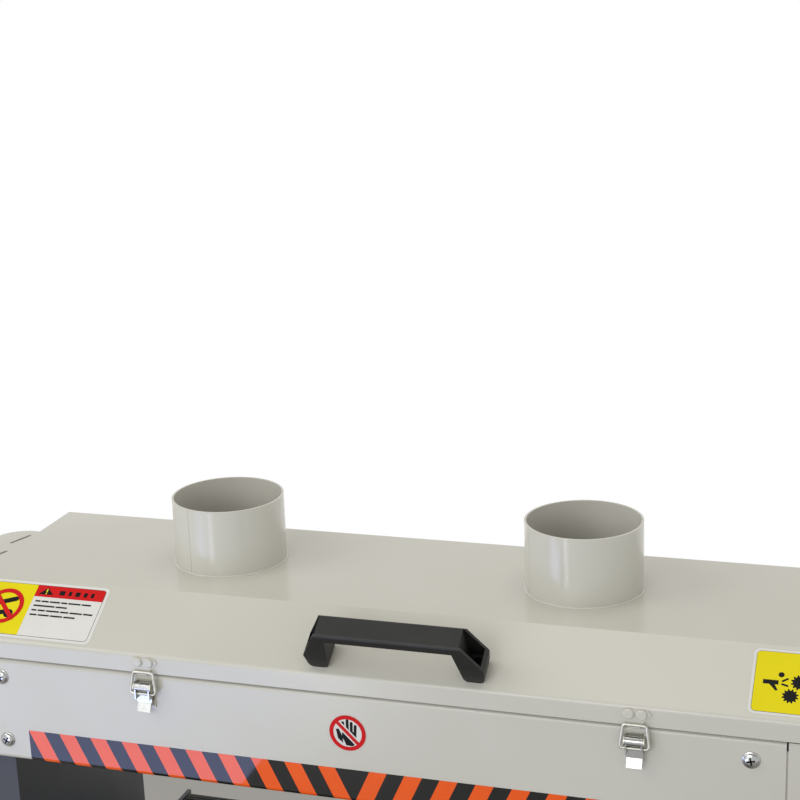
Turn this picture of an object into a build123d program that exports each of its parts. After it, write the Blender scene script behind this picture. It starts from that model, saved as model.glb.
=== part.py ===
"""Single-drum sander on a closed steel stand.

A single abrasive-wrapped drum turns in a head carried by two columns. A conveyor table rises on four
screws that a handwheel turns by chain. A hinged sheet-steel hood with two extraction ports closes the head.

X runs to the operator's right, Y to the back and Z up. The origin is on the floor, midway between the
outermost faces. Millimetres throughout.
"""

import os
from math import atan2, cos, degrees, radians, sin

from build123d import *

os.makedirs("parts", exist_ok=True)

# ---------------------------------------------------------------- driving dimensions
conveyor_half = 230.0  # origin to the belt's outermost surface, front and back
hood_top_z = 1060.0

# hood
hood_half = 375.0
hood_inset = 1.0  # the hood's ends stop this far short of the end frames' outer faces
hood_back_y = 155.5
hood_crease_y = -18.6  # the flat top ends here
hood_slope_run = 57.3
hood_slope_drop = 37.1
hood_lip = 15.8
hood_sheet = 1.5
bend_r = 4.0

# dust ports
port_r = 50.8
port_wall = 1.8
port_h = 60.6
port_y = 70.0
port_x = (-162.2, 166.8)

# handle
handle_x = 40.4
handle_down = 50.5  # centre of the handle below the crease, along the slope
handle_w = 22.0
handle_h = 46.0
handle_bar = 8.5
handle_foot = 57.9, 74.3  # inner and outer end of a foot's sole, from the middle
handle_bulge = 76.6, 16.0  # the widest point and its height
handle_top_half = 61.3
handle_rib = 2.4  # walls beside the recess at each end
handle_seat = 12.0  # height of the recess's floor
handle_screw_half = 68.0

# head
head_h = 97.0
head_gap = 1.6  # between the hood's rim and the head
panel_sheet = 1.5
panel_flange = 12.0
panel_front_y = -74.4
end_gap = 1.5  # panel's end to the end frame
end_sheet = 3.0
end_w = 22.8  # end frames, along X
screw_in = 26.2  # panel screws in from the panel's end
screw_from_top = 17.5, 78.1  # panel screws below the head's top edge

# drum
drum_r = 63.5
drum_past_belt = 10.0  # at each end
abrasive = 1.0
drum_wall = 5.0
drum_y = 40.5
drum_below = 10.0  # the drum reaches this far below the head
shaft_r = 12.5
run_fit = 0.05  # radial clearance of a shaft in its bearing

# pressure rollers
press_r = 19.0
press_gap = 5.4  # roller to the panel's folded edge
press_below = 1.5  # below the drum's lowest line
press_axle_r = 6.0
press_travel = 4.0

# conveyor table, at the bottom of its travel
throat = 172.5  # belt to drum
table_travel = 165.0
belt_half = 295.0
belt_t = 2.5
belt_gap = 0.3
roller_r = 25.0
roller_axle_r = 7.0
rail_t = 4.0
rail_gap = 4.0

# stand and columns
stand_low_z = 60.0
stand_below_hood = 500.0  # the stand's top, below the hood's top
stand_y = -150.0, 210.0
stand_sheet = 2.0
column_w = 46.0
column_y = -53.0, 114.0, 197.0  # front, step, back
column_step = 12.0
column_wall = 2.5
cap_t = 4.0

# lift
screw_r = 9.0
screw_at = 270.0, 105.0
screw_tail = 175.0  # a lift screw reaches this far below the stand's top
nut_up = 3.0, 40.0  # above the stand's top
chain_up = 21.0
sprocket_r = 22.0
drive_y = -118.0
wheel_down = 60.0  # handwheel's axis below the stand's top
wheel_r = 78.0

# belt drive and guard
guard_half = 90.5  # front and back of the drum's axis
guard_reach = 58.0  # out from the frame
guard_past = 75.0, 15.0  # below the motor's axis, and short of the hood's top
guard_plate = 2.0
guard_sheet = 1.5
guard_corner = 30.0
drum_pulley_r = 38.0
motor_pulley_r = 50.0
motor_z = 300.0
motor_r = 75.0
motor_in = 46.0  # motor's end in from the stand's left face
motor_l = 250.0
vbelt_w = 10.0
vbelt_t = 8.0
vbelt_out = 21.0, 36.0  # belts' middles, out from the frame

# latches
latch_x = -184.0, 236.8
latch_pivot_down = 9.9  # lever pivot below the head's top edge
latch_out = 5.5  # lever pivot out from the panel
latch_throw = 5.6  # lever pivot down to the bail's lower bar
bail_r = 1.25
bail_half = 9.2, 11.7
latch_half = 8.3  # base plate and the outer faces of its ears
barrel_r = 4.0

# ---------------------------------------------------------------- worked out from them
frame_half = hood_half + hood_inset  # outer face of end frames, columns and stand
half_reach = frame_half + guard_reach  # origin to the outermost face, left and right
panel_half = frame_half - end_w - end_gap
screw_x = panel_half - screw_in
drum_half = belt_half + drum_past_belt
press_apart = drum_y - panel_front_y - panel_flange - press_gap - press_r
stand_z = stand_low_z, hood_top_z - stand_below_hood
column_in = frame_half - column_w
screw_low_z = stand_z[1] - screw_tail
nut_z = stand_z[1] + nut_up[0], stand_z[1] + nut_up[1]
chain_z = stand_z[1] + chain_up
wheel_z = stand_z[1] - wheel_down
guard_y = drum_y - guard_half, drum_y + guard_half
guard_z = motor_z - guard_past[0], hood_top_z - guard_past[1]
motor_x = motor_in - frame_half, motor_in + motor_l - frame_half
vbelt_x = -frame_half - vbelt_out[0], -frame_half - vbelt_out[1]
hood_front_y = hood_crease_y - hood_slope_run
hood_rim_z = hood_top_z - hood_slope_drop - hood_lip
head_top_z = hood_rim_z - head_gap
head_z = head_top_z - head_h, head_top_z
head_y = panel_front_y, hood_back_y
end_in = panel_half + end_gap
drum_z = head_z[0] - drum_below + drum_r
drum_low_z = drum_z - drum_r
belt_top_z = drum_low_z - throat
roller_y = conveyor_half - belt_t - belt_gap - roller_r
roller_z = belt_top_z - belt_t - belt_gap - roller_r
rail_in = belt_half + rail_gap
rail_out = rail_in + rail_t
guard_x = -half_reach
slope_angle = degrees(atan2(hood_slope_drop, hood_slope_run))
press_z = drum_low_z - press_below + press_r
press_y = drum_y - press_apart, drum_y + press_apart


def save(part, name):
    """Writes one sub-part as a STEP file of that name."""
    part.label = name
    export_step(part, f"parts/{name}.step")


def block(x, y, z, mode=Mode.ADD):
    """A box between two corners, given as low and high along each axis."""
    with Locations(((x[0] + x[1]) / 2, (y[0] + y[1]) / 2, (z[0] + z[1]) / 2)):
        Box(abs(x[1] - x[0]), abs(y[1] - y[0]), abs(z[1] - z[0]), mode=mode)


def rod_x(x, y, z, radius, mode=Mode.ADD):
    """A cylinder along X."""
    with Locations(Location(((x[0] + x[1]) / 2, y, z), (0, 90, 0))):
        Cylinder(radius, abs(x[1] - x[0]), mode=mode)


def rod_y(x, y, z, radius, mode=Mode.ADD):
    """A cylinder along Y."""
    with Locations(Location((x, (y[0] + y[1]) / 2, z), (90, 0, 0))):
        Cylinder(radius, abs(y[1] - y[0]), mode=mode)


def rod_z(x, y, z, radius, mode=Mode.ADD):
    """A cylinder along Z."""
    with Locations((x, y, (z[0] + z[1]) / 2)):
        Cylinder(radius, abs(z[1] - z[0]), mode=mode)


def span(side, inner, outer):
    """Low and high X of something that lies between two distances from the middle, on one side."""
    return (inner, outer) if side > 0 else (-outer, -inner)


sides = {"left": -1, "right": 1}

# ---------------------------------------------------------------- hood
def hood_outline(inset):
    """The hood's section, moved inwards by a sheet's thickness and left open below."""
    lean = radians(slope_angle)
    top = hood_top_z - inset
    front = hood_front_y + inset
    crease = hood_crease_y + inset * (1 - cos(lean)) / sin(lean)
    lip_top = top - (crease - front) * hood_slope_drop / hood_slope_run
    low = hood_rim_z
    back = hood_back_y - inset
    return [(back, low), (back, top), (crease, top), (front, lip_top), (front, low)]


with BuildPart() as hood:
    with BuildSketch(Plane.YZ.offset(-hood_half)):
        with BuildLine():
            Polyline(*hood_outline(0), close=True)
        make_face()
    extrude(amount=2 * hood_half)
    lip_edge = hood.edges().filter_by(Axis.X).group_by(Axis.Y)[0].sort_by(Axis.Z)[-1]
    back_edge = hood.edges().filter_by(Axis.X).group_by(Axis.Y)[-1].sort_by(Axis.Z)[-1]
    fillet([lip_edge, back_edge], bend_r)
    with BuildSketch(Plane.YZ.offset(-hood_half + hood_sheet)):
        with BuildLine():
            Polyline(*hood_outline(hood_sheet), close=True)
        make_face()
    extrude(amount=2 * (hood_half - hood_sheet), mode=Mode.SUBTRACT)
    for x in port_x:
        rod_z(x, port_y, (hood_top_z - 5, hood_top_z + 5), port_r - port_wall, Mode.SUBTRACT)
save(hood.part, "hood")

with BuildPart() as dust_ports:
    for x in port_x:
        rod_z(x, port_y, (hood_top_z, hood_top_z + port_h), port_r)
        rod_z(x, port_y, (hood_top_z, hood_top_z + port_h), port_r - port_wall, Mode.SUBTRACT)
save(dust_ports.part, "dust_ports")

# ---------------------------------------------------------------- bridge handle on the slope
slope_plane = Plane(
    origin=(
        handle_x,
        hood_crease_y - handle_down * cos(radians(slope_angle)),
        hood_top_z - handle_down * sin(radians(slope_angle)),
    ),
    x_dir=(1, 0, 0),
    z_dir=(0, -sin(radians(slope_angle)), cos(radians(slope_angle))),
)
handle_side = Plane(origin=slope_plane.origin, x_dir=(1, 0, 0), z_dir=-slope_plane.y_dir)
foot_in, foot_out = handle_foot
bar_under = handle_h - handle_bar
outer_side = [(foot_out, 0), handle_bulge, (handle_top_half, handle_h)]
inner_side = [(foot_in - 4.5, bar_under), (foot_in, 0)]
handle_path = (
    outer_side
    + [(-x, z) for x, z in reversed(outer_side)]
    + [(-x, z) for x, z in reversed(inner_side)]
    + inner_side
)
with BuildPart() as handle:
    with BuildSketch(handle_side) as handle_profile:
        with BuildLine():
            Polyline(*handle_path, close=True)
        make_face()
        corners = handle_profile.vertices().group_by(Axis((0, 0, 0), slope_plane.z_dir))
        fillet(corners[-1], 5)
        fillet(handle_profile.vertices().filter_by(
            lambda v: abs(abs(v.X - handle_x) - (foot_in - 4.5)) < 0.1), 10)
    extrude(amount=handle_w / 2, both=True)
    long_edges = [
        e for e in handle.edges().filter_by(Axis.X)
        if slope_plane.to_local_coords(e.center()).Z > handle_h - 0.1
    ]
    fillet(long_edges, 3.5)
    recess = handle_top_half - 1, handle_bulge[0] - handle_rib
    for side in (-1, 1):
        at_x = side * (recess[0] + recess[1]) / 2
        with Locations(slope_plane * Location((at_x, 0, handle_seat + 20))):
            Box(recess[1] - recess[0], handle_w - 2 * handle_rib, 40, mode=Mode.SUBTRACT)
        with Locations(slope_plane * Location((side * handle_screw_half, 0, handle_seat))):
            Cylinder(5.4, 6, mode=Mode.SUBTRACT)
        with Locations(slope_plane * Location((side * handle_screw_half, 0, 5))):
            Cylinder(3.0, 20, mode=Mode.SUBTRACT)
save(handle.part, "handle")

with BuildPart() as handle_screws:
    for side in (-1, 1):
        with Locations(slope_plane * Location((side * handle_screw_half, 0, handle_seat - 1))):
            Cylinder(4.6, 4)
        with Locations(slope_plane * Location((side * handle_screw_half, 0, handle_seat))):
            Cylinder(2.5, 3, mode=Mode.SUBTRACT)
        with Locations(slope_plane * Location((side * handle_screw_half, 0, (handle_seat - 3) / 2))):
            Cylinder(2.9, handle_seat - 3)
save(handle_screws.part, "handle_screws")

# ---------------------------------------------------------------- hood hinge, along the back
hinge_y, hinge_z = hood_back_y + 4.7, head_top_z + head_gap / 2
knuckle_r, hinge_pin_r = 3.2, 1.6
leaf_t, leaf_h, leaf_half = 1.5, 26.0, 300.0
knuckles = 9
knuckle_pitch = 2 * leaf_half / knuckles


def hinge_leaf(first, up):
    """Every second knuckle with its leaf, above the pin for the hood and below it for the head."""
    start = hinge_z + 4.2 if up else hinge_z - 4.2
    block((-leaf_half, leaf_half), (hood_back_y, hood_back_y + leaf_t),
          sorted((start, start + (leaf_h if up else -leaf_h))))
    for n in range(first, knuckles, 2):
        low = -leaf_half + n * knuckle_pitch + 0.25
        x = low, low + knuckle_pitch - 0.5
        rod_x(x, hinge_y, hinge_z, knuckle_r)
        lift = (hinge_z + 1.1, start + 1) if up else (start - 1, hinge_z - 1.1)
        block(x, (hood_back_y, hinge_y - 1), lift)
    rod_x((-leaf_half, leaf_half), hinge_y, hinge_z, hinge_pin_r + run_fit, Mode.SUBTRACT)


with BuildPart() as hood_hinge_leaf:
    hinge_leaf(1, up=True)
save(hood_hinge_leaf.part, "hood_hinge_leaf")

with BuildPart() as frame_hinge_leaf:
    hinge_leaf(0, up=False)
    rod_x((-leaf_half, leaf_half), hinge_y, hinge_z, hinge_pin_r)
save(frame_hinge_leaf.part, "frame_hinge_leaf")

# ---------------------------------------------------------------- draw latches on the front panel
pivot_y = panel_front_y - latch_out
pivot_z = head_top_z - latch_pivot_down
bar_y = pivot_y - 1.3  # the bail's lower bar, past the pivot's centre
bar_z = pivot_z - latch_throw
plate_t = 1.2
keeper_y = hood_front_y - plate_t
bail_top_y = keeper_y - 0.4 - bail_r
bail_top_z = hood_rim_z + 1.7
keeper_half, keeper_neck, keeper_low = 13.0, 6.7, 1.2
rivet_x, rivet_up, rivet_r = 5.1, 10.2, 4.3

with BuildPart() as latch_bases:
    for x in latch_x:
        plate_x = x - latch_half, x + latch_half
        block(plate_x, (panel_front_y - plate_t, panel_front_y), (pivot_z - 20, pivot_z + 5))
        for side in (-1, 1):
            ear = sorted((x + side * (latch_half - 1.2), x + side * latch_half))
            block(ear, (pivot_y, panel_front_y - plate_t), (pivot_z - 4.3, pivot_z + 4.3))
            rod_x(ear, pivot_y, pivot_z, 4.3)
        rod_x(plate_x, pivot_y, pivot_z, 1.5)
save(latch_bases.part, "latch_bases")

with BuildPart() as latch_keepers:
    for x in latch_x:
        with BuildSketch(Plane.XZ.offset(-keeper_y)):
            with BuildLine():
                Polyline(
                    (x - keeper_neck, hood_rim_z - keeper_low),
                    (x + keeper_neck, hood_rim_z - keeper_low),
                    (x + keeper_neck, hood_rim_z + 4),
                    (x + keeper_half, hood_rim_z + 10.5),
                    (x + keeper_half - 3, hood_rim_z + 13.5),
                    (x - keeper_half + 3, hood_rim_z + 13.5),
                    (x - keeper_half, hood_rim_z + 10.5),
                    (x - keeper_neck, hood_rim_z + 4),
                    close=True,
                )
            make_face()
        extrude(amount=-plate_t)
        for side in (-1, 1):
            rod_y(x + side * rivet_x, (keeper_y - 1.8, keeper_y), hood_rim_z + rivet_up, rivet_r)
    fillet(latch_keepers.edges().filter_by(GeomType.CIRCLE).group_by(Axis.Y)[0], 1.2)
save(latch_keepers.part, "latch_keepers")

lever_half = latch_half - 1.4
for name, x in zip(sides, latch_x):
    with BuildPart() as lever:
        rod_x((x - lever_half, x + lever_half), pivot_y, pivot_z, barrel_r)
        with BuildSketch(Plane.YZ.offset(x - lever_half)):
            with BuildLine():
                Polyline(
                    (pivot_y - 1.4, pivot_z - 1.5),
                    (pivot_y + 1.4, pivot_z - 1.5),
                    (pivot_y + 1.6, pivot_z - 14.8),
                    (pivot_y - 2.0, pivot_z - 22),
                    (pivot_y - 3.1, pivot_z - 21.5),
                    (pivot_y + 0.2, pivot_z - 14.4),
                    (pivot_y + 0.2, pivot_z - 3.2),
                    (pivot_y - 1.4, pivot_z - 3.0),
                    close=True,
                )
            make_face()
        extrude(amount=2 * lever_half)
        block((x - lever_half + 1.2, x + lever_half - 1.2), (pivot_y - 2, pivot_y + 2),
              (bar_z + bail_r, pivot_z - barrel_r), Mode.SUBTRACT)
        for side in (-1, 1):
            cheek = sorted((x + side * (lever_half - 1.2), x + side * lever_half))
            block(cheek, (bar_y - 2.6, pivot_y + 0.3), (bar_z - 4.5, bar_z + 4.2))
            block(sorted((x + side * (lever_half - 0.8), x + side * (lever_half + 1))),
                  (pivot_y - 4, pivot_y + 3), (pivot_z - 23, pivot_z - 13.8), Mode.SUBTRACT)
        rod_x((x - 9, x + 9), bar_y, bar_z, bail_r + run_fit, Mode.SUBTRACT)
        rod_x((x - 9, x + 9), pivot_y, pivot_z, 1.5 + run_fit, Mode.SUBTRACT)
    save(lever.part, f"latch_lever_{name}")

    top_half, low_half = bail_half
    bail_rise = Vector(0, bail_top_y - bar_y, bail_top_z - bar_z)
    with BuildSketch(Plane((x, bar_y, bar_z), (1, 0, 0), Vector(1, 0, 0).cross(bail_rise))) as bail_loop:
        with BuildLine():
            Polyline((low_half, 0), (top_half, bail_rise.length), (-top_half, bail_rise.length),
                     (-low_half, 0), close=True)
        make_face()
        fillet(bail_loop.vertices(), 2.6)
    bail_path = bail_loop.sketch.face().outer_wire()
    with BuildPart() as bail:
        with BuildSketch(Plane(origin=bail_path @ 0, z_dir=bail_path % 0)):
            Circle(bail_r)
        sweep(path=bail_path)
    save(bail.part, f"latch_bail_{name}")

# ---------------------------------------------------------------- head: panels, end frames, brackets
def folded_panel(front):
    """A sheet with its top and bottom edges folded inwards; front is its outer face, facing -Y or +Y."""
    inward = 1 if front == head_y[0] else -1
    low, high = head_z
    deep, back = front + inward * panel_flange, front + inward * panel_sheet
    points = [
        (front, low), (deep, low), (deep, low + panel_sheet), (back, low + panel_sheet),
        (back, high - panel_sheet), (deep, high - panel_sheet), (deep, high), (front, high),
    ]
    with BuildSketch(Plane.YZ.offset(-panel_half)) as section:
        with BuildLine():
            Polyline(*points, close=True)
        make_face()
        fillet([v for v in section.vertices() if abs(v.X - front) < 0.01], bend_r)
        fillet([v for v in section.vertices() if abs(v.X - back) < 0.01], bend_r - panel_sheet)
    extrude(section.sketch, amount=2 * panel_half)
    for side in (-1, 1):
        for down in screw_from_top:
            rod_y(side * screw_x, (front - 5, front + 5), high - down, 3.3, Mode.SUBTRACT)


with BuildPart() as front_panel:
    folded_panel(head_y[0])
save(front_panel.part, "front_panel")

with BuildPart() as rear_panel:
    folded_panel(head_y[1])
save(rear_panel.part, "rear_panel")

with BuildPart() as panel_screws:
    for front, out in ((head_y[0], -1), (head_y[1], 1)):
        for side in (-1, 1):
            for down in screw_from_top:
                z = head_z[1] - down
                rod_y(side * screw_x, sorted((front, front + out * 3.6)), z, 6.2)
                rod_y(side * screw_x, sorted((front, front - out * 10)), z, 2.95)
save(panel_screws.part, "panel_screws")

bracket_t, bracket_in = 3.0, 310.0
for name, side in sides.items():
    with BuildPart() as end_frame:
        block(span(side, end_in, frame_half), head_y, head_z)
        block(span(side, end_in + end_sheet, frame_half - end_sheet),
              (head_y[0] + end_sheet, head_y[1] - end_sheet),
              (head_z[0] - 1, head_z[1] - end_sheet), Mode.SUBTRACT)
        shaft_hole = (end_in - 1, frame_half + 1) if side < 0 else (end_in - 1, end_in + end_sheet + 1)
        rod_x(span(side, *shaft_hole), drum_y, drum_z, shaft_r + 4, Mode.SUBTRACT)
        for front, inward in ((head_y[0], 1), (head_y[1], -1)):
            face = front + inward * panel_sheet
            block(span(side, bracket_in, end_in), sorted((face, face + inward * bracket_t)),
                  (head_z[0] + 8, head_z[1] - 8))
            for down in screw_from_top:
                rod_y(side * screw_x, (face - 9, face + 9), head_z[1] - down, 3.0, Mode.SUBTRACT)
    save(end_frame.part, f"{name}_end_frame")

bearing_t, bearing_boss = 8.0, 15.0
with BuildPart() as drum_bearings:
    for side in (-1, 1):
        block(span(side, end_in - bearing_t, end_in), (drum_y - 40, drum_y + 40), (drum_z - 26, drum_z + 26))
        rod_x(span(side, end_in - bearing_boss, end_in), drum_y, drum_z, 24)
        rod_x(span(side, end_in - bearing_boss - 1, end_in + 1), drum_y, drum_z, shaft_r + run_fit,
              Mode.SUBTRACT)
save(drum_bearings.part, "drum_bearings")

# ---------------------------------------------------------------- sanding drum and its drive
with BuildPart() as drum_core:
    rod_x((-drum_half, drum_half), drum_y, drum_z, drum_r - abrasive)
    rod_x((-drum_half + 12, drum_half - 12), drum_y, drum_z, drum_r - abrasive - drum_wall, Mode.SUBTRACT)
    rod_x((-drum_half - 1, drum_half + 1), drum_y, drum_z, shaft_r, Mode.SUBTRACT)
save(drum_core.part, "drum_core")

with BuildPart() as abrasive_wrap:
    rod_x((-drum_half, drum_half), drum_y, drum_z, drum_r)
    rod_x((-drum_half - 1, drum_half + 1), drum_y, drum_z, drum_r - abrasive, Mode.SUBTRACT)
save(abrasive_wrap.part, "abrasive_wrap")

pulley_x = vbelt_x[1] - vbelt_w / 2 - 4, vbelt_x[0] + vbelt_w / 2 + 4
shaft_end = pulley_x[0] - 4
with BuildPart() as drum_shaft:
    rod_x((shaft_end, end_in + 12), drum_y, drum_z, shaft_r)
save(drum_shaft.part, "drum_shaft")


def pulley(radius, bore, y, z):
    """A two-groove pulley on a shaft along X."""
    rod_x(pulley_x, y, z, radius + 2)
    for x in vbelt_x:
        groove = x - vbelt_w / 2 - belt_gap, x + vbelt_w / 2 + belt_gap
        rod_x(groove, y, z, radius + 3, Mode.SUBTRACT)
        rod_x(groove, y, z, radius - vbelt_t)
    rod_x((pulley_x[0] - 1, pulley_x[1] + 1), y, z, bore, Mode.SUBTRACT)


with BuildPart() as drum_pulley:
    pulley(drum_pulley_r, shaft_r, drum_y, drum_z)
save(drum_pulley.part, "drum_pulley")

motor_shaft_r = 12.0
with BuildPart() as motor_pulley:
    pulley(motor_pulley_r, motor_shaft_r, drum_y, motor_z)
    rod_x((shaft_end, motor_x[0] - 0.5), drum_y, motor_z, motor_shaft_r)
save(motor_pulley.part, "motor_pulley")


def belt_loop(grow):
    """The outline of a belt round both pulleys, at a distance from the grooves' floors."""
    r_top = drum_pulley_r - vbelt_t + belt_gap + grow
    r_low = motor_pulley_r - vbelt_t + belt_gap + grow
    rise = drum_z - motor_z
    lean = (r_low - r_top) / rise
    up, out = lean, (1 - lean * lean) ** 0.5
    top = [(drum_y + s * r_top * out, drum_z + r_top * up) for s in (-1, 1)]
    low = [(drum_y + s * r_low * out, motor_z + r_low * up) for s in (-1, 1)]
    Line(low[0], top[0])
    ThreePointArc(top[0], (drum_y, drum_z + r_top), top[1])
    Line(top[1], low[1])
    ThreePointArc(low[1], (drum_y, motor_z - r_low), low[0])


with BuildPart() as v_belts:
    for x in vbelt_x:
        with BuildSketch(Plane.YZ.offset(x - vbelt_w / 2)):
            with BuildLine():
                belt_loop(vbelt_t)
            make_face()
            with BuildLine():
                belt_loop(0)
            make_face(mode=Mode.SUBTRACT)
        extrude(amount=vbelt_w)
save(v_belts.part, "v_belts")

with BuildPart() as drum_motor:
    rod_x(motor_x, drum_y, motor_z, motor_r - 8)
    fins = 20
    for n in range(fins):
        angle = 360 * n / fins
        with Locations(Location((0, drum_y, motor_z), (angle, 0, 0))):
            with Locations(((motor_x[0] + motor_x[1]) / 2, 0, motor_r - 6)):
                Box(motor_x[1] - motor_x[0] - 70, 3, 12)
    rod_x((motor_x[1] - 30, motor_x[1] + 18), drum_y, motor_z, motor_r)
    rod_x((motor_x[0], motor_x[0] + 16), drum_y, motor_z, motor_r)
    for side in (-1, 1):
        block((motor_x[0] + 50, motor_x[1] - 60), sorted((drum_y + side * 45, drum_y + side * 70)),
              (motor_z - motor_r - 6, motor_z - 45))
save(drum_motor.part, "drum_motor")

# ---------------------------------------------------------------- belt guard on the left
guard_back_x = -frame_half - guard_plate
with BuildPart() as guard_back:
    block((guard_back_x, -frame_half), guard_y, guard_z)
    rod_x((guard_back_x - 9, -frame_half + 9), drum_y, drum_z, shaft_r + 8, Mode.SUBTRACT)
    rod_x((guard_back_x - 9, -frame_half + 9), drum_y, motor_z, motor_shaft_r + 8, Mode.SUBTRACT)
save(guard_back.part, "guard_back")

slot_l, slot_w, slot_lean = 27.0, 3.2, 18.4
slot_x, slot_first_y, slot_pitch, slots = -405.3, 106.9, 45.0, 3
with BuildPart() as belt_guard:
    block((guard_x, guard_back_x), guard_y, guard_z)
    fillet(belt_guard.edges().filter_by(Axis.Z).group_by(Axis.X)[0], guard_corner)
    offset(amount=-guard_sheet, openings=belt_guard.faces().sort_by(Axis.X)[-1])
    with BuildSketch(Plane.XY.offset(guard_z[1] + 1)):
        with Locations(*[(slot_x, slot_first_y - n * slot_pitch) for n in range(slots)]):
            SlotOverall(slot_l, slot_w, rotation=90 - slot_lean)
    extrude(amount=-guard_sheet - 2, mode=Mode.SUBTRACT)
save(belt_guard.part, "belt_guard")

# ---------------------------------------------------------------- columns
column_front, column_mid, column_back = column_y
column_z = stand_z[1], head_z[0]
front_plate_t = 6.0
for name, side in sides.items():
    with BuildPart() as column:
        block(span(side, column_in, frame_half), (column_front, column_mid), column_z)
        block(span(side, column_in + column_step, frame_half), (column_mid, column_back), column_z)
        hollow_z = column_z[0] - 1, column_z[1] - cap_t
        block(span(side, column_in + column_wall, frame_half - column_wall),
              (column_front + column_wall, column_mid - column_wall), hollow_z, Mode.SUBTRACT)
        block(span(side, column_in + column_step + column_wall, frame_half - column_wall),
              (column_mid - column_wall - 1, column_back - column_wall), hollow_z, Mode.SUBTRACT)
    save(column.part, f"{name}_column")

with BuildPart() as column_fronts:
    for side in (-1, 1):
        block(span(side, column_in, frame_half), (column_front - front_plate_t, column_front), column_z)
save(column_fronts.part, "column_fronts")

# ---------------------------------------------------------------- stand
door_x = -331.0, 100.0
door_z = 100.0, 410.0
door_lap = 12.0
wheel_shaft_r = 8.0
mount_z = motor_z - motor_r - 6
stand_inner_z = stand_z[0] + stand_sheet, stand_z[1] - stand_sheet
vent_l, vent_w, vent_pitch, vents = 90.0, 5.0, 16.0, 7
tray_gap = 0.2  # the floor plate drops into the walls with this gap all round
with BuildPart() as stand_shell:
    block((-frame_half, frame_half), stand_y, stand_z)
    block((stand_sheet - frame_half, frame_half - stand_sheet),
          (stand_y[0] + stand_sheet, stand_y[1] - stand_sheet),
          (stand_z[0] - 1, stand_inner_z[1]), Mode.SUBTRACT)
    block((tray_gap + stand_sheet - frame_half, frame_half - stand_sheet - tray_gap),
          (stand_y[0] + stand_sheet + tray_gap, stand_y[1] - stand_sheet - tray_gap),
          (stand_z[0], stand_inner_z[0]))
    block((door_x[0] + door_lap, door_x[1] - door_lap), (stand_y[0] - 1, stand_y[0] + stand_sheet + 1),
          (door_z[0] + door_lap, door_z[1] - door_lap), Mode.SUBTRACT)
    for x in (-screw_at[0], screw_at[0]):
        for y in (-screw_at[1], screw_at[1]):
            rod_z(x, y, (stand_z[1] - 9, stand_z[1] + 9), screw_r + 3, Mode.SUBTRACT)
    rod_z(0, drive_y, (stand_z[1] - 9, stand_z[1] + 9), wheel_shaft_r + 2, Mode.SUBTRACT)
    rod_y(0, (stand_y[0] - 9, stand_y[0] + 9), wheel_z, wheel_shaft_r + 2, Mode.SUBTRACT)
    rod_x((-frame_half - 9, -frame_half + 9), drum_y, motor_z, motor_shaft_r + 8, Mode.SUBTRACT)
    with BuildSketch(Plane.YZ.offset(frame_half + 1)):
        with GridLocations(0, vent_pitch, 1, vents):
            with Locations(((stand_y[0] + stand_y[1]) / 2, motor_z)):
                SlotOverall(vent_l, vent_w)
    extrude(amount=-stand_sheet - 2, mode=Mode.SUBTRACT)
save(stand_shell.part, "stand_shell")

with BuildPart() as motor_mount:
    block((motor_x[0] + 20, motor_x[1] - 30), (drum_y - 85, drum_y + 85), (mount_z - 6, mount_z))
    for x in (motor_x[0] + 40, motor_x[1] - 70):
        for side in (-1, 1):
            y = sorted((drum_y + side * 80, drum_y + side * 84))
            block((x, x + 40), y, (stand_inner_z[0], mount_z - 6))
save(motor_mount.part, "motor_mount")

foot_x, foot_inset, foot_pad_r, foot_pad_t, foot_stem_r = 340.0, 34.0, 28.0, 12.0, 8.0
with BuildPart() as levelling_feet:
    for x in (-foot_x, foot_x):
        for y in (stand_y[0] + foot_inset, stand_y[1] - foot_inset):
            rod_z(x, y, (0, foot_pad_t), foot_pad_r)
            rod_z(x, y, (foot_pad_t, stand_z[0]), foot_stem_r)
            with BuildSketch(Plane.XY.offset(stand_z[0] - 10)):
                with Locations((x, y)):
                    RegularPolygon(13, 6)
            extrude(amount=10)
save(levelling_feet.part, "levelling_feet")

# ---------------------------------------------------------------- door of the stand
door_gap, door_t = 0.5, 2.0
door_y = stand_y[0] - door_gap - door_t, stand_y[0] - door_gap
door_pin_x, door_knuckle_r, door_pin_r = door_x[0] - 5, 4.0, 2.0
door_pin_y = stand_y[0] - door_gap - door_knuckle_r
hinge_at_z = door_z[0] + 50, door_z[1] - 50
lock_x, lock_z, lock_r = door_x[1] - 24, (door_z[0] + door_z[1]) / 2, 14.0
with BuildPart() as stand_door:
    block(door_x, door_y, door_z)
    for z in hinge_at_z:
        block((door_pin_x, door_x[0]), door_y, (z - 9.7, z + 9.7))
        rod_z(door_pin_x, door_pin_y, (z - 9.7, z + 9.7), door_knuckle_r)
        rod_z(door_pin_x, door_pin_y, (z - 10, z + 10), door_pin_r + run_fit, Mode.SUBTRACT)
    rod_y(lock_x, (door_y[0] - 1, door_y[1] + 1), lock_z, 6.1, Mode.SUBTRACT)
save(stand_door.part, "stand_door")

with BuildPart() as door_hinges:
    for z in hinge_at_z:
        block((door_pin_x - 18, door_pin_x - 5), (stand_y[0] - 1.5, stand_y[0]), (z - 20, z + 20))
        for low in (z - 20, z + 10):
            block((door_pin_x - 6, door_pin_x), (stand_y[0] - 1.5, stand_y[0]), (low, low + 10))
            rod_z(door_pin_x, door_pin_y, (low, low + 10), door_knuckle_r)
        rod_z(door_pin_x, door_pin_y, (z - 20, z + 20), door_pin_r)
save(door_hinges.part, "door_hinges")

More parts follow.
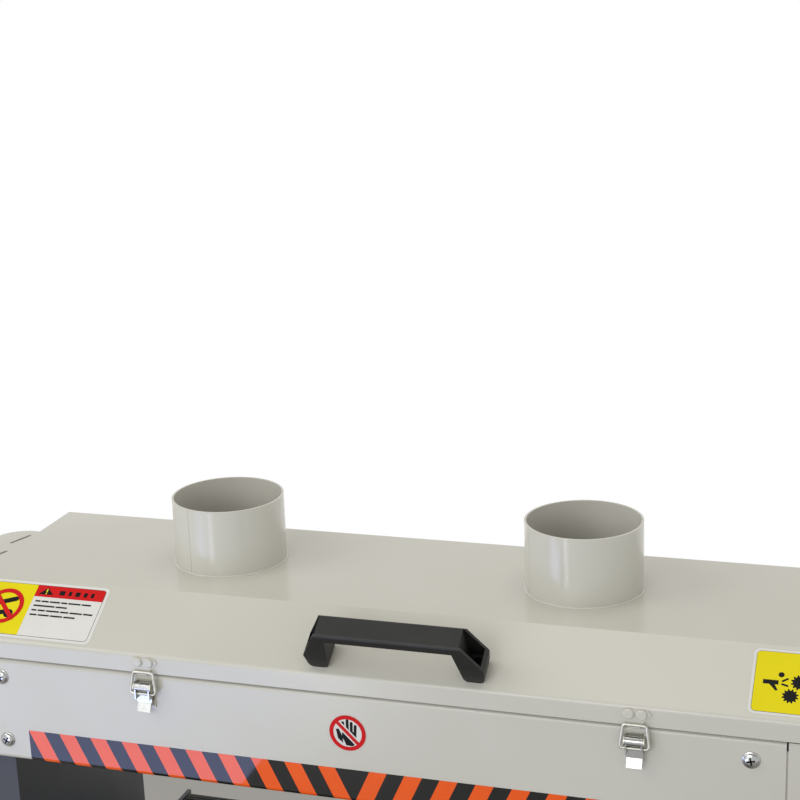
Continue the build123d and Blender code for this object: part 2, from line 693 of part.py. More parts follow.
with BuildPart() as door_lock:
    rod_y(lock_x, (door_y[0] - 12, door_y[0] - 0.3), lock_z, lock_r)
    rod_y(lock_x, (door_y[0] - 1, door_y[1]), lock_z, 6.0)
    block((lock_x - 3, lock_x + 3), (door_y[0] - 18, door_y[0] - 11), (lock_z - lock_r, lock_z + lock_r))
save(door_lock.part, "door_lock")

# ---------------------------------------------------------------- lift: nuts, chain, bevel drive, handwheel
corners = {
    "front_left": (-screw_at[0], -screw_at[1]),
    "front_right": (screw_at[0], -screw_at[1]),
    "back_left": (-screw_at[0], screw_at[1]),
    "back_right": (screw_at[0], screw_at[1]),
}
nut_r, sprocket_t, teeth, tooth_gap_r = 14.0, 6.0, 14, 3.0
housing_r, housing_top = 24.0, nut_z[0] + 9


def sprocket(x, y):
    """A toothed disc at the chain's level."""
    rod_z(x, y, (chain_z - sprocket_t / 2, chain_z + sprocket_t / 2), sprocket_r)
    with Locations((x, y, chain_z)):
        with PolarLocations(sprocket_r + 0.8, teeth):
            Cylinder(tooth_gap_r, sprocket_t + 1, mode=Mode.SUBTRACT)


for name, (x, y) in corners.items():
    with BuildPart() as lift_nut:
        sprocket(x, y)
        rod_z(x, y, nut_z, nut_r)
        rod_z(x, y, (nut_z[0] - 1, nut_z[1] + 1), screw_r + run_fit, Mode.SUBTRACT)
    save(lift_nut.part, f"lift_nut_{name}")

boss_y = stand_y[0] - 14, stand_y[0]
drive_block = 24.0
with BuildPart() as lift_bearings:
    for x, y in corners.values():
        rod_z(x, y, (stand_z[1], housing_top), housing_r)
        rod_z(x, y, (nut_z[0] - 0.3, housing_top + 1), nut_r + run_fit, Mode.SUBTRACT)
        rod_z(x, y, (stand_z[1] - 1, housing_top), screw_r + 3, Mode.SUBTRACT)
    block((-drive_block, drive_block), (drive_y - drive_block, drive_y + drive_block),
          (stand_inner_z[1] - 20, stand_inner_z[1]))
    rod_z(0, drive_y, (stand_inner_z[1] - 21, stand_inner_z[1] + 1), wheel_shaft_r + run_fit, Mode.SUBTRACT)
    rod_y(0, boss_y, wheel_z, 18)
    rod_y(0, (boss_y[0] - 1, boss_y[1] + 1), wheel_z, wheel_shaft_r + run_fit, Mode.SUBTRACT)
save(lift_bearings.part, "lift_bearings")

gear_near, gear_far, gear_relief = 10.0, 20.0, 0.4
gear_half = (gear_near + gear_far) / 2
with BuildPart() as lift_drive:
    sprocket(0, drive_y)
    rod_z(0, drive_y, (wheel_z + gear_near, chain_z + 8), wheel_shaft_r)
    with Locations((0, drive_y, wheel_z + gear_half)):
        Cone(gear_near - gear_relief, gear_far - gear_relief, gear_far - gear_near)
save(lift_drive.part, "lift_drive")


def chain_outline(radius):
    """The tight loop round all five sprockets, drawn at one distance from their middles."""
    with BuildLine() as rounds:
        for x, y in [*corners.values(), (0, drive_y)]:
            CenterArc((x, y), radius, 0, 360)
    make_hull(rounds.edges())


chain_gap, chain_t, chain_w = 0.4, 5.0, 6.0
with BuildPart() as lift_chain:
    with BuildSketch(Plane.XY.offset(chain_z - chain_w / 2)):
        chain_outline(sprocket_r + chain_gap + chain_t)
    extrude(amount=chain_w)
    with BuildSketch(Plane.XY.offset(chain_z - chain_w / 2)):
        chain_outline(sprocket_r + chain_gap)
    extrude(amount=chain_w, mode=Mode.SUBTRACT)
save(lift_chain.part, "lift_chain")

rim_r = 8.0
rim_at = wheel_r - rim_r
wheel_y = stand_y[0] - 40
hub_r, hub_half, spoke_r, spokes = 16.0, 13.0, 5.5, 3
spoke_angle, crank_angle, spindle_r, knob_r = 30.0, 72.0, 3.5, 10.0
crank_at = rim_at * cos(radians(crank_angle)), wheel_z + rim_at * sin(radians(crank_angle))
knob_y = wheel_y - rim_r - 29, wheel_y - rim_r - 2
with BuildPart() as handwheel:
    with BuildSketch(Plane.YZ):
        with Locations((wheel_y, wheel_z + rim_at)):
            Circle(rim_r)
    revolve(axis=Axis((0, wheel_y, wheel_z), (0, 1, 0)))
    rod_y(crank_at[0], (wheel_y - rim_r - 1, wheel_y + rim_r + 1), crank_at[1], rim_r + 1)
    rod_y(crank_at[0], (knob_y[0] - 0.6, wheel_y), crank_at[1], spindle_r)
    for n in range(spokes):
        angle = radians(spoke_angle + n * 360 / spokes)
        with BuildSketch(Plane(origin=(0, wheel_y, wheel_z), z_dir=(cos(angle), 0, sin(angle)))):
            Circle(spoke_r)
        extrude(amount=rim_at)
    rod_y(0, (wheel_y - hub_half, wheel_y + hub_half), wheel_z, hub_r)
    rod_y(0, (wheel_y - hub_half, drive_y - gear_near), wheel_z, wheel_shaft_r)
    with Locations(Location((0, drive_y - gear_half, wheel_z), (90, 0, 0))):
        Cone(gear_near - gear_relief, gear_far - gear_relief, gear_far - gear_near)
save(handwheel.part, "handwheel")

with BuildPart() as crank_knob:
    rod_y(crank_at[0], knob_y, crank_at[1], knob_r)
    fillet(crank_knob.edges().filter_by(GeomType.CIRCLE), 2.5)
    rod_y(crank_at[0], (knob_y[0] - 1, knob_y[1] + 1), crank_at[1], spindle_r + run_fit, Mode.SUBTRACT)
save(crank_knob.part, "crank_knob")

# ---------------------------------------------------------------- conveyor table
rail_reach = conveyor_half - 8
cross_half_w, cross_h, cross_gap = 20.0, 24.0, 6.4
cross_top = roller_z - roller_r - belt_gap - belt_t - cross_gap
cross_z = cross_top - cross_h, cross_top
rail_z = cross_z[0], belt_top_z - belt_t + 0.5
platen_t = 4.0
platen_top = belt_top_z - belt_t - belt_gap
platen_half_y = roller_y - roller_r - 5
with BuildPart() as table_frame:
    for side in (-1, 1):
        block(span(side, rail_in, rail_out), (-rail_reach, rail_reach), rail_z)
        for end in (-1, 1):
            rod_x(span(side, rail_in - 1, rail_out + 1), end * roller_y, roller_z,
                  roller_axle_r + run_fit, Mode.SUBTRACT)
    for end in (-1, 1):
        middle = end * screw_at[1]
        block((-rail_in, rail_in), (middle - cross_half_w, middle + cross_half_w), cross_z)
        block((-rail_in, rail_in), (middle - cross_half_w + 3, middle + cross_half_w - 3),
              (cross_z[0] + 6, cross_z[1] + 1), Mode.SUBTRACT)
    block((-rail_in, rail_in), (-platen_half_y, platen_half_y), (platen_top - platen_t, platen_top))
save(table_frame.part, "table_frame")

with BuildPart() as lift_screws:
    for x, y in corners.values():
        rod_z(x, y, (screw_low_z, cross_z[0]), screw_r)
        rod_z(x, y, (cross_z[0] - 6, cross_z[0]), 2 * screw_r)
save(lift_screws.part, "lift_screws")


def conveyor_loop(radius, mode=Mode.ADD):
    """The belt's path round both rollers, at one distance from their axles."""
    with Locations((0, roller_z)):
        SlotCenterToCenter(2 * roller_y, 2 * radius, mode=mode)


with BuildPart() as conveyor_belt:
    with BuildSketch(Plane.YZ.offset(-belt_half)):
        conveyor_loop(roller_r + belt_gap + belt_t)
        conveyor_loop(roller_r + belt_gap, Mode.SUBTRACT)
    extrude(amount=2 * belt_half)
save(conveyor_belt.part, "conveyor_belt")

gearbox_x, gear_motor_x = (rail_out, 350.0), (350.0, 424.0)
axle_out = 8.0
with BuildPart() as drive_roller:
    rod_x((-belt_half + 1, belt_half - 1), -roller_y, roller_z, roller_r)
    rod_x((-rail_out - axle_out, gearbox_x[1] - 12), -roller_y, roller_z, roller_axle_r)
save(drive_roller.part, "drive_roller")

with BuildPart() as idler_roller:
    rod_x((-belt_half + 1, belt_half - 1), roller_y, roller_z, roller_r)
    rod_x((-rail_out - axle_out, rail_out + axle_out), roller_y, roller_z, roller_axle_r)
save(idler_roller.part, "idler_roller")

with BuildPart() as conveyor_motor:
    block(gearbox_x, (-roller_y - 25, -roller_y + 25), (roller_z - 26, roller_z + 26))
    rod_x(gear_motor_x, -roller_y, roller_z, 26)
    rod_x((rail_out - 1, gearbox_x[1] - 11), -roller_y, roller_z, roller_axle_r + run_fit, Mode.SUBTRACT)
save(conveyor_motor.part, "conveyor_motor")

# ---------------------------------------------------------------- sprung pressure rollers
press_names = {"front": press_y[0], "back": press_y[1]}
yoke_z = press_z + press_r + 5, press_z + press_r + 13
lug_x, yoke_half_w = (319.0, 325.0), 6.5
guide_x, guide_pin_r, guide_arm_z = 336.0, 5.0, (yoke_z[1] + 10, yoke_z[1] + 18)
with BuildPart() as press_guides:
    for y in press_y:
        for side in (-1, 1):
            block(span(side, guide_x - 8, end_in), (y - yoke_half_w, y + yoke_half_w), guide_arm_z)
            rod_z(side * guide_x, y, (yoke_z[0] - 4, guide_arm_z[0]), guide_pin_r)
            rod_z(side * guide_x, y, (yoke_z[0] - 4, yoke_z[0] - 0.4), guide_pin_r + 3)
save(press_guides.part, "press_guides")

for name, y in press_names.items():
    with BuildPart() as press_yoke:
        block((-guide_x - 10, guide_x + 10), (y - yoke_half_w, y + yoke_half_w), yoke_z)
        for side in (-1, 1):
            block(span(side, *lug_x), (y - yoke_half_w, y + yoke_half_w), (press_z - 10, yoke_z[0]))
            rod_x(span(side, lug_x[0] - 1, lug_x[1] + 1), y, press_z, press_axle_r + run_fit, Mode.SUBTRACT)
            rod_z(side * guide_x, y, (yoke_z[0] - 1, yoke_z[1] + 1), guide_pin_r + run_fit, Mode.SUBTRACT)
    save(press_yoke.part, f"press_yoke_{name}")

    with BuildPart() as press_roller:
        rod_x((-lug_x[0] + 3, lug_x[0] - 3), y, press_z, press_r)
        rod_x((-lug_x[1] - 2, lug_x[1] + 2), y, press_z, press_axle_r)
    save(press_roller.part, f"press_roller_{name}")

# ---------------------------------------------------------------- controls on the right end
box_y, box_wall = (-66.0, 64.0), 3.0
box_z = head_z[1] - 245.5, head_z[1] - 20.5
box_mid = (frame_half + half_reach) / 2
stop_z, start_z, knob_z = box_z[1] - 38, box_z[1] - 96, box_z[1] - 150
stop_stem_r, stop_head_r, start_r, dial_r = 9.0, 19.0, 11.0, 16.0
press_in = 5.0, 3.0  # travel of the stop and the start button
button_gap = 0.1
with BuildPart() as control_box:
    block((frame_half, half_reach), box_y, box_z)
    fillet(control_box.edges().filter_by(Axis.Z).group_by(Axis.X)[-1], 6)
    block((frame_half - 1, half_reach - box_wall), (box_y[0] + box_wall, box_y[1] - box_wall),
          (box_z[0] + box_wall, box_z[1] - box_wall), Mode.SUBTRACT)
    for z, radius in ((stop_z, stop_stem_r), (start_z, start_r), (knob_z, 4)):
        rod_y(box_mid, (box_y[0] - 1, box_y[0] + box_wall + 1), z, radius + button_gap, Mode.SUBTRACT)
save(control_box.part, "control_box")

with BuildPart() as stop_button:
    rod_y(box_mid, (box_y[0] - 16, box_y[0] + box_wall + 6), stop_z, stop_stem_r)
    rod_y(box_mid, (box_y[0] - 28, box_y[0] - 16), stop_z, stop_head_r)
    fillet(stop_button.edges().filter_by(GeomType.CIRCLE).group_by(Axis.Y)[0], 4)
save(stop_button.part, "stop_button")

with BuildPart() as start_button:
    rod_y(box_mid, (box_y[0] - 7, box_y[0] + box_wall + 6), start_z, start_r)
    fillet(start_button.edges().filter_by(GeomType.CIRCLE).group_by(Axis.Y)[0], 1.2)
save(start_button.part, "start_button")

with BuildPart() as speed_knob:
    rod_y(box_mid, (box_y[0] - 18, box_y[0] - 1), knob_z, dial_r)
    fillet(speed_knob.edges().filter_by(GeomType.CIRCLE).group_by(Axis.Y)[0], 1.5)
    block((box_mid - 1, box_mid + 1), (box_y[0] - 19, box_y[0] - 15), (knob_z, knob_z + dial_r - 2),
          Mode.SUBTRACT)
    rod_y(box_mid, (box_y[0] - 2, box_y[0] + box_wall + 4), knob_z, 4)
save(speed_knob.part, "speed_knob")
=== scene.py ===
# %% [markdown]
# # Drum sander
# The machine's structure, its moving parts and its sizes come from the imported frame. This notebook adds
# what a maker would see on the real one: the finishes, and the small pieces that the frame leaves plain,
# such as tape, labels, chain links, springs and screw heads. All lengths are in metres.

# %% Load the frame
from math import atan2, cos, hypot, pi, radians, sin, tau

import bmesh
import bpy
from mathutils import Matrix, Vector


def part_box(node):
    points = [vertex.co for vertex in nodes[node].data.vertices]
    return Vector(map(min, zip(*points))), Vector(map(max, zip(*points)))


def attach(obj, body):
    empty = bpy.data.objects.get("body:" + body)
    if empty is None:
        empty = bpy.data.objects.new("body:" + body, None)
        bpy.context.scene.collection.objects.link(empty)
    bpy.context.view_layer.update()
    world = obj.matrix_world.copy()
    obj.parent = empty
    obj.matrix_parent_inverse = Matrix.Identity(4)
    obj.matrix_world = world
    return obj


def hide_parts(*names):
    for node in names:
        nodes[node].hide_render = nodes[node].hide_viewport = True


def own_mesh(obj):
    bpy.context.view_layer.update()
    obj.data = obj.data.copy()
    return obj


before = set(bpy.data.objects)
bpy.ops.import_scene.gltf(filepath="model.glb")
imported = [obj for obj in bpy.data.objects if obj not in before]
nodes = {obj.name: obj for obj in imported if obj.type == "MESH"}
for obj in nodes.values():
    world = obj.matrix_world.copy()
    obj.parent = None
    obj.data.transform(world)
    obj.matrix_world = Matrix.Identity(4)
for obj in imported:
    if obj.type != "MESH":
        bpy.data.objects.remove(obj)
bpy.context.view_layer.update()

# %% [markdown]
# ## Units and places
# A maker measures in millimetres, so one value turns them to metres. Places are read from the frame's
# nodes, so a piece sits where the part that carries it is.

# %% Units and corners of the nodes
MM = 0.001


def low(node):
    """The lowest corner of a node."""
    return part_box(node)[0]


def high(node):
    """The highest corner of a node."""
    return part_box(node)[1]


def middle(node):
    """The centre of a node's box."""
    return (low(node) + high(node)) / 2


print("hood spans", [round(v / MM) for v in high("hood") - low("hood")], "mm")

# %% [markdown]
# ## The camera
# The machine is seen from the front right, from a little above the hood, with a long lens, so that its
# edges stay close to parallel. The camera's own axes are worked out from its turn, its dip and a slight
# roll, which is how a tripod head is set.

# %% Camera
camera_place = Vector((0.4444, -1.2493, 1.6013))
turn, dip, roll = radians(18.37), radians(15.42), radians(2.18)
forward = Vector((-sin(turn) * cos(dip), cos(turn) * cos(dip), -sin(dip)))
level_right = Vector((cos(turn), sin(turn), 0))
level_down = forward.cross(level_right)
right = level_right * cos(roll) + level_down * sin(roll)
down = level_down * cos(roll) - level_right * sin(roll)

camera = bpy.data.objects.new("camera", bpy.data.cameras.new("camera"))
camera.data.sensor_width = 36
camera.data.lens = 75.12
camera.data.clip_start = 0.05
turned = Matrix((right, -down, -forward)).transposed().to_4x4()
camera.matrix_world = Matrix.Translation(camera_place) @ turned
bpy.context.scene.collection.objects.link(camera)
bpy.context.scene.camera = camera
print("camera lens", camera.data.lens, "mm at", [round(v, 3) for v in camera_place])

# %% [markdown]
# ## Colour
# Paint makers and label printers give a colour as an sRGB hex value. The shaders work in linear light,
# so one function turns one into the other.

# %% Hex colour to linear light
def linear(hex_colour):
    """Linear RGBA from an sRGB hex value such as "#C8C6BC"."""
    channels = [int(hex_colour[n:n + 2], 16) / 255 for n in (1, 3, 5)]
    knee, slope, offset, power = 0.04045, 12.92, 0.055, 2.4
    return [c / slope if c <= knee else ((c + offset) / (1 + offset)) ** power for c in channels] + [1.0]


print("mid grey is", round(linear("#808080")[0], 3), "in linear light")

# %% [markdown]
# ## Building a material
# A material here is a small graph. One function adds any node with its settings and its inputs, and an
# input is either a plain value or another node's output. Patterns read the piece's own coordinates, in
# metres, so a grain that is 2 mm wide on the real surface has a scale of 500 features a metre.

# %% Node helper and pattern scale
def add(tree, kind, inputs=None, **settings):
    """Adds a node: settings are its properties, inputs are values or other nodes' outputs."""
    made = tree.nodes.new(kind)
    for key, value in settings.items():
        setattr(made, key, value)
    for key, value in (inputs or {}).items():
        if isinstance(value, bpy.types.NodeSocket):
            tree.links.new(value, made.inputs[key])
        else:
            made.inputs[key].default_value = value
    return made


def per_metre(size_mm):
    """A texture's scale for features of this size."""
    return 1000 / size_mm


def blank(name):
    """A material with an empty graph, and that graph's place to read from: the piece's own metres."""
    material = bpy.data.materials.new(name)
    material.use_nodes = True
    tree = material.node_tree
    tree.nodes.clear()
    return material, tree, add(tree, "ShaderNodeTexCoord").outputs["Object"]


def close(tree, **shader_inputs):
    """Ends the graph in a Principled shader."""
    names = {"colour": "Base Color", "roughness": "Roughness", "metallic": "Metallic", "normal": "Normal",
             "coat": "Coat Weight", "coat_roughness": "Coat Roughness", "ior": "IOR",
             "sheen": "Sheen Weight", "anisotropic": "Anisotropic", "specular": "Specular IOR Level"}
    shader = add(tree, "ShaderNodeBsdfPrincipled", {names[k]: v for k, v in shader_inputs.items()})
    add(tree, "ShaderNodeOutputMaterial", {"Surface": shader.outputs["BSDF"]})


print("a 2 mm grain has scale", per_metre(2))

# %% [markdown]
# ## Sprayed enamel
# The hood, the panels and the guards are folded sheet steel with a glossy sprayed enamel in a greyish
# cream. Spray leaves a very shallow orange peel a few millimetres wide, the colour drifts a little over
# a large panel, and handling leaves dull smears. Enamel is a dielectric, so it isn't metallic. The stand
# and columns carry the same paint in dark grey, with less gloss.

# %% Enamel
def enamel(name, colour, shade, gloss, smear=0.10, peel_mm=3.5, peel=0.05):
    """Sprayed enamel: base colour, the shade it drifts to, roughness, smears and orange peel."""
    material, tree, place = blank(name)
    drift = add(tree, "ShaderNodeTexNoise", {"Vector": place, "Scale": per_metre(260), "Detail": 3.0})
    tone = add(tree, "ShaderNodeValToRGB", {"Fac": drift.outputs["Fac"]})
    tone.color_ramp.elements[0].position, tone.color_ramp.elements[1].position = 0.35, 0.65
    tone.color_ramp.elements[0].color, tone.color_ramp.elements[1].color = linear(colour), linear(shade)
    specks = add(tree, "ShaderNodeTexVoronoi", {"Vector": place, "Scale": per_metre(38)})
    speck = add(tree, "ShaderNodeMapRange", {"Value": specks.outputs["Distance"], "From Min": 0.012,
                                             "From Max": 0.022, "To Min": 0.30, "To Max": 0.0})
    dusty = add(tree, "ShaderNodeMix", {"Factor": speck.outputs["Result"], "A": tone.outputs["Color"],
                                        "B": linear("#5B5850")}, data_type="RGBA") if smear else None
    wiped = add(tree, "ShaderNodeTexNoise", {"Vector": place, "Scale": per_metre(70), "Detail": 4.0,
                                             "Distortion": 0.6})
    dull = add(tree, "ShaderNodeMapRange", {"Value": wiped.outputs["Fac"], "From Min": 0.45,
                                            "From Max": 0.75, "To Min": gloss, "To Max": gloss + smear})
    peel_noise = add(tree, "ShaderNodeTexNoise", {"Vector": place, "Scale": per_metre(peel_mm),
                                                  "Detail": 1.0})
    bump = add(tree, "ShaderNodeBump", {"Height": peel_noise.outputs["Fac"], "Strength": peel,
                                        "Distance": 0.2 * MM})
    close(tree, colour=dusty.outputs["Result"], roughness=dull.outputs["Result"],
          normal=bump.outputs["Normal"], ior=1.5)
    return material


cream_enamel = enamel("cream_enamel", "#C6C4BA", "#C1BFB4", 0.18)
dark_enamel = enamel("dark_grey_enamel", "#45474A", "#3E4043", 0.42, peel_mm=2.0, peel=0.25)
motor_enamel = enamel("blue_grey_motor_enamel", "#34414C", "#2E3A44", 0.38, peel_mm=2.0, peel=0.2)
print("enamels:", cream_enamel.name, dark_enamel.name, motor_enamel.name)

# %% [markdown]
# ## Metals
# Zinc plating on screws, latches and hinges is bright with a fine cloudy spangle. Turned steel on shafts
# and rollers shows rings a fraction of a millimetre apart, drawn coarser here so that they show. Chain
# and socket screws are blackened. Castings are grey with a sandy skin. Every metal keeps its full
# metallic value, and its look comes from roughness.

# %% Metals
def metal(name, colour, shade, rough_low, rough_high, grain_mm, stretch=(1, 1, 1), relief=0.15):
    """A metal with a grain of one size, which may be stretched along an axis."""
    material, tree, place = blank(name)
    grain_place = add(tree, "ShaderNodeMapping", {"Vector": place, "Scale": stretch})
    grain = add(tree, "ShaderNodeTexNoise", {"Vector": grain_place.outputs["Vector"],
                                             "Scale": per_metre(grain_mm), "Detail": 3.0})
    tone = add(tree, "ShaderNodeMix", {"Factor": grain.outputs["Fac"], "A": linear(colour),
                                       "B": linear(shade)}, data_type="RGBA")
    rough = add(tree, "ShaderNodeMapRange", {"Value": grain.outputs["Fac"], "To Min": rough_low,
                                             "To Max": rough_high})
    bump = add(tree, "ShaderNodeBump", {"Height": grain.outputs["Fac"], "Strength": relief,
                                        "Distance": 0.1 * MM})
    close(tree, colour=tone.outputs["Result"], metallic=1.0, roughness=rough.outputs["Result"],
          normal=bump.outputs["Normal"])
    return material


zinc_plate = metal("zinc_plated_steel", "#D5D5D2", "#AEB0B0", 0.16, 0.34, 4)
turned_steel = metal("turned_steel", "#C2C2C0", "#8F9090", 0.18, 0.38, 3, stretch=(6, 1, 1))
threaded_steel = metal("lift_screw_steel", "#A9AAA8", "#77797A", 0.22, 0.4, 3, stretch=(1, 1, 6))
blackened_steel = metal("blackened_steel", "#2B2B2C", "#19191A", 0.3, 0.5, 2)
cast_iron = metal("grey_cast_iron", "#5A5C5E", "#3E4042", 0.5, 0.7, 1.6, relief=0.6)
cast_aluminium = metal("cast_aluminium", "#B9BABB", "#9A9C9E", 0.34, 0.5, 1.5, relief=0.3)
dull_zinc = metal("dulled_zinc", "#DDDCD2", "#C6C5BB", 0.34, 0.5, 3, relief=0.1)
chrome_plate = metal("chrome_plate", "#DADBDC", "#C6C8CA", 0.06, 0.14, 25, relief=0.02)
print("metals:", 8)

# %% [markdown]
# ## Plastics, rubber and abrasive
# The handle, knobs and crank grip are black nylon from a mould, with a fine spark-eroded grain that
# breaks up the shine. Push buttons are glossy ABS. The conveyor belt is rubber with cross ribs, dusted by
# use. The drum wears a coated abrasive: brown grit on cloth, wound on as a strip, so a seam runs round it
# like a barber's pole.

# %% Moulded plastics and rubber
def moulded(name, colour, shade, gloss, grain_mm, relief, dust=0.0):
    """A moulded surface: slight mottling, a fine grain, and dust where it is used."""
    material, tree, place = blank(name)
    mottle = add(tree, "ShaderNodeTexNoise", {"Vector": place, "Scale": per_metre(18), "Detail": 4.0})
    tone = add(tree, "ShaderNodeMix", {"Factor": mottle.outputs["Fac"], "A": linear(colour),
                                       "B": linear(shade)}, data_type="RGBA")
    powder = add(tree, "ShaderNodeMapRange", {"Value": mottle.outputs["Fac"], "From Min": 0.5,
                                              "From Max": 0.8, "To Min": 0.0, "To Max": dust})
    dusted = add(tree, "ShaderNodeMix", {"Factor": powder.outputs["Result"], "A": tone.outputs["Result"],
                                         "B": linear("#B6A27F")}, data_type="RGBA")
    rough = add(tree, "ShaderNodeMapRange", {"Value": mottle.outputs["Fac"], "To Min": gloss,
                                             "To Max": gloss + 0.12})
    grain = add(tree, "ShaderNodeTexNoise", {"Vector": place, "Scale": per_metre(grain_mm), "Detail": 2.0})
    bump = add(tree, "ShaderNodeBump", {"Height": grain.outputs["Fac"], "Strength": relief,
                                        "Distance": 0.1 * MM})
    close(tree, colour=dusted.outputs["Result"], roughness=rough.outputs["Result"],
          normal=bump.outputs["Normal"], ior=1.5)
    return material


black_nylon = moulded("black_moulded_nylon", "#22221F", "#161615", 0.46, 0.7, 0.35)
red_abs = moulded("red_gloss_abs", "#C4150F", "#B0120E", 0.16, 3, 0.02)
green_abs = moulded("green_gloss_abs", "#14833A", "#117334", 0.16, 3, 0.02)
belt_rubber = moulded("ribbed_belt_rubber", "#262624", "#1B1B1A", 0.55, 0.9, 0.5, dust=0.10)
drive_rubber = moulded("drive_belt_rubber", "#1D1D1D", "#141414", 0.6, 0.8, 0.4)

# %% [markdown]
# ### Abrasive wrap
# The strip is wound round the drum on a slant, so its seam is found from the angle round the drum's axis
# and the distance along it.

# %% Abrasive wrap
strip_mm, drum_axis = 95, middle("abrasive_wrap")
grit_wrap, tree, place = blank("coated_abrasive")
split = add(tree, "ShaderNodeSeparateXYZ", {"Vector": place})
rise = add(tree, "ShaderNodeMath", {0: split.outputs["Z"], 1: drum_axis.z}, operation="SUBTRACT")
reach = add(tree, "ShaderNodeMath", {0: split.outputs["Y"], 1: drum_axis.y}, operation="SUBTRACT")
angle = add(tree, "ShaderNodeMath", {0: rise.outputs[0], 1: reach.outputs[0]}, operation="ARCTAN2")
winding = add(tree, "ShaderNodeMath", {0: split.outputs["X"], 1: per_metre(strip_mm), 2: 0.0},
              operation="MULTIPLY_ADD")
turns = add(tree, "ShaderNodeMath", {0: angle.outputs[0], 1: 1 / tau, 2: winding.outputs[0]},
            operation="MULTIPLY_ADD")
along = add(tree, "ShaderNodeMath", {0: turns.outputs[0]}, operation="FRACT")
seam = add(tree, "ShaderNodeMapRange", {"Value": along.outputs[0], "From Min": 0.0, "From Max": 0.02,
                                        "To Min": 1.0, "To Max": 0.0})
grit = add(tree, "ShaderNodeTexNoise", {"Vector": place, "Scale": per_metre(0.8), "Detail": 3.0})
worn = add(tree, "ShaderNodeMix", {"Factor": grit.outputs["Fac"], "A": linear("#8A5536"),
                                   "B": linear("#4E2C1B")}, data_type="RGBA")
lined = add(tree, "ShaderNodeMix", {"Factor": seam.outputs["Result"], "A": worn.outputs["Result"],
                                    "B": linear("#2A1A12")}, data_type="RGBA")
bump = add(tree, "ShaderNodeBump", {"Height": grit.outputs["Fac"], "Strength": 0.8, "Distance": 0.4 * MM})
close(tree, colour=lined.outputs["Result"], roughness=0.85, normal=bump.outputs["Normal"])
print("abrasive strip", strip_mm, "mm wide")

# %% [markdown]
# ## Printed vinyl
# Tape and labels are vinyl film with one flat ink colour each. The tape has a mirror-like clear coat over
# its ink and the labels only a faint satin one. The film isn't quite flat where it was rubbed on, so its
# reflections waver a little.

# %% Vinyl
def vinyl(name, ink, faded, film=0.12, film_rough=0.3):
    """Printed vinyl under a film of its own shine, with a faint waviness."""
    material, tree, place = blank(name)
    fade = add(tree, "ShaderNodeTexNoise", {"Vector": place, "Scale": per_metre(30), "Detail": 2.0})
    tone = add(tree, "ShaderNodeMix", {"Factor": fade.outputs["Fac"], "A": linear(ink),
                                       "B": linear(faded)}, data_type="RGBA")
    wave = add(tree, "ShaderNodeTexNoise", {"Vector": place, "Scale": per_metre(9), "Detail": 2.0})
    bump = add(tree, "ShaderNodeBump", {"Height": wave.outputs["Fac"], "Strength": 0.06,
                                        "Distance": 0.3 * MM})
    close(tree, colour=tone.outputs["Result"], roughness=0.6, coat=film, coat_roughness=film_rough,
          normal=bump.outputs["Normal"])
    tree.nodes["Principled BSDF"].inputs["Specular IOR Level"].default_value = 0.1
    return material


orange_tape = vinyl("orange_tape_film", "#EE5A00", "#E45200", film=0.9, film_rough=0.03)
black_tape = vinyl("black_tape_film", "#121211", "#0C0C0B", film=0.9, film_rough=0.03)
black_vinyl = vinyl("black_vinyl", "#121214", "#0C0C0E")
white_vinyl = vinyl("white_vinyl", "#DAD9D5", "#D2D1CD")
yellow_vinyl = vinyl("yellow_vinyl", "#E2D30C", "#DACA0A")
red_vinyl = vinyl("red_vinyl", "#CC1416", "#C01012")
grey_vinyl = vinyl("grey_ink_vinyl", "#8B8B88", "#80807D")
print("vinyl inks:", 7)

# %% [markdown]
# ## Dressing the frame
# Each CAD node gets its real finish, and a narrow bevel, because no folded, cast or turned edge is perfectly
# sharp and a rounded edge is what catches the light. The bevel only takes edges sharper than 35 degrees.

# %% Finishes of the CAD nodes
finish_of = {
    cream_enamel: ["hood", "dust_ports", "front_panel", "rear_panel", "left_end_frame", "right_end_frame",
                   "belt_guard", "guard_back", "latch_keepers", "control_box"],
    dark_enamel: ["left_column", "right_column", "column_fronts", "stand_shell", "stand_door",
                  "motor_mount", "table_frame"],
    dull_zinc: ["latch_bases", "latch_bail_left", "latch_bail_right"],
    zinc_plate: ["panel_screws", "latch_lever_left", "latch_lever_right", "hood_hinge_leaf",
                 "frame_hinge_leaf", "door_hinges", "levelling_feet",
                 "press_guides", "press_yoke_front", "press_yoke_back"],
    turned_steel: ["drum_shaft", "press_roller_front", "press_roller_back", "idler_roller"],
    threaded_steel: ["lift_screws"],
    blackened_steel: ["handle_screws", "lift_chain", "lift_drive"],
    cast_iron: ["drum_bearings", "drum_pulley", "motor_pulley", "lift_bearings", "lift_nut_front_left",
                "lift_nut_front_right", "lift_nut_back_left", "lift_nut_back_right"],
    black_nylon: ["handle", "crank_knob", "door_lock", "speed_knob"],
    belt_rubber: ["conveyor_belt", "drive_roller"],
    drive_rubber: ["v_belts"],
    grit_wrap: ["abrasive_wrap"],
    cast_aluminium: ["drum_core", "conveyor_motor"],
    motor_enamel: ["drum_motor"],
    red_abs: ["stop_button"],
    green_abs: ["start_button"],
    chrome_plate: ["handwheel"],
}
edge_mm = {"hood": 0.8, "dust_ports": 0.4, "handle": 1.6, "stand_shell": 1.2, "belt_guard": 0.6,
           "control_box": 1.5, "conveyor_motor": 1.5, "drum_motor": 1.0}
usual_edge_mm = 0.4
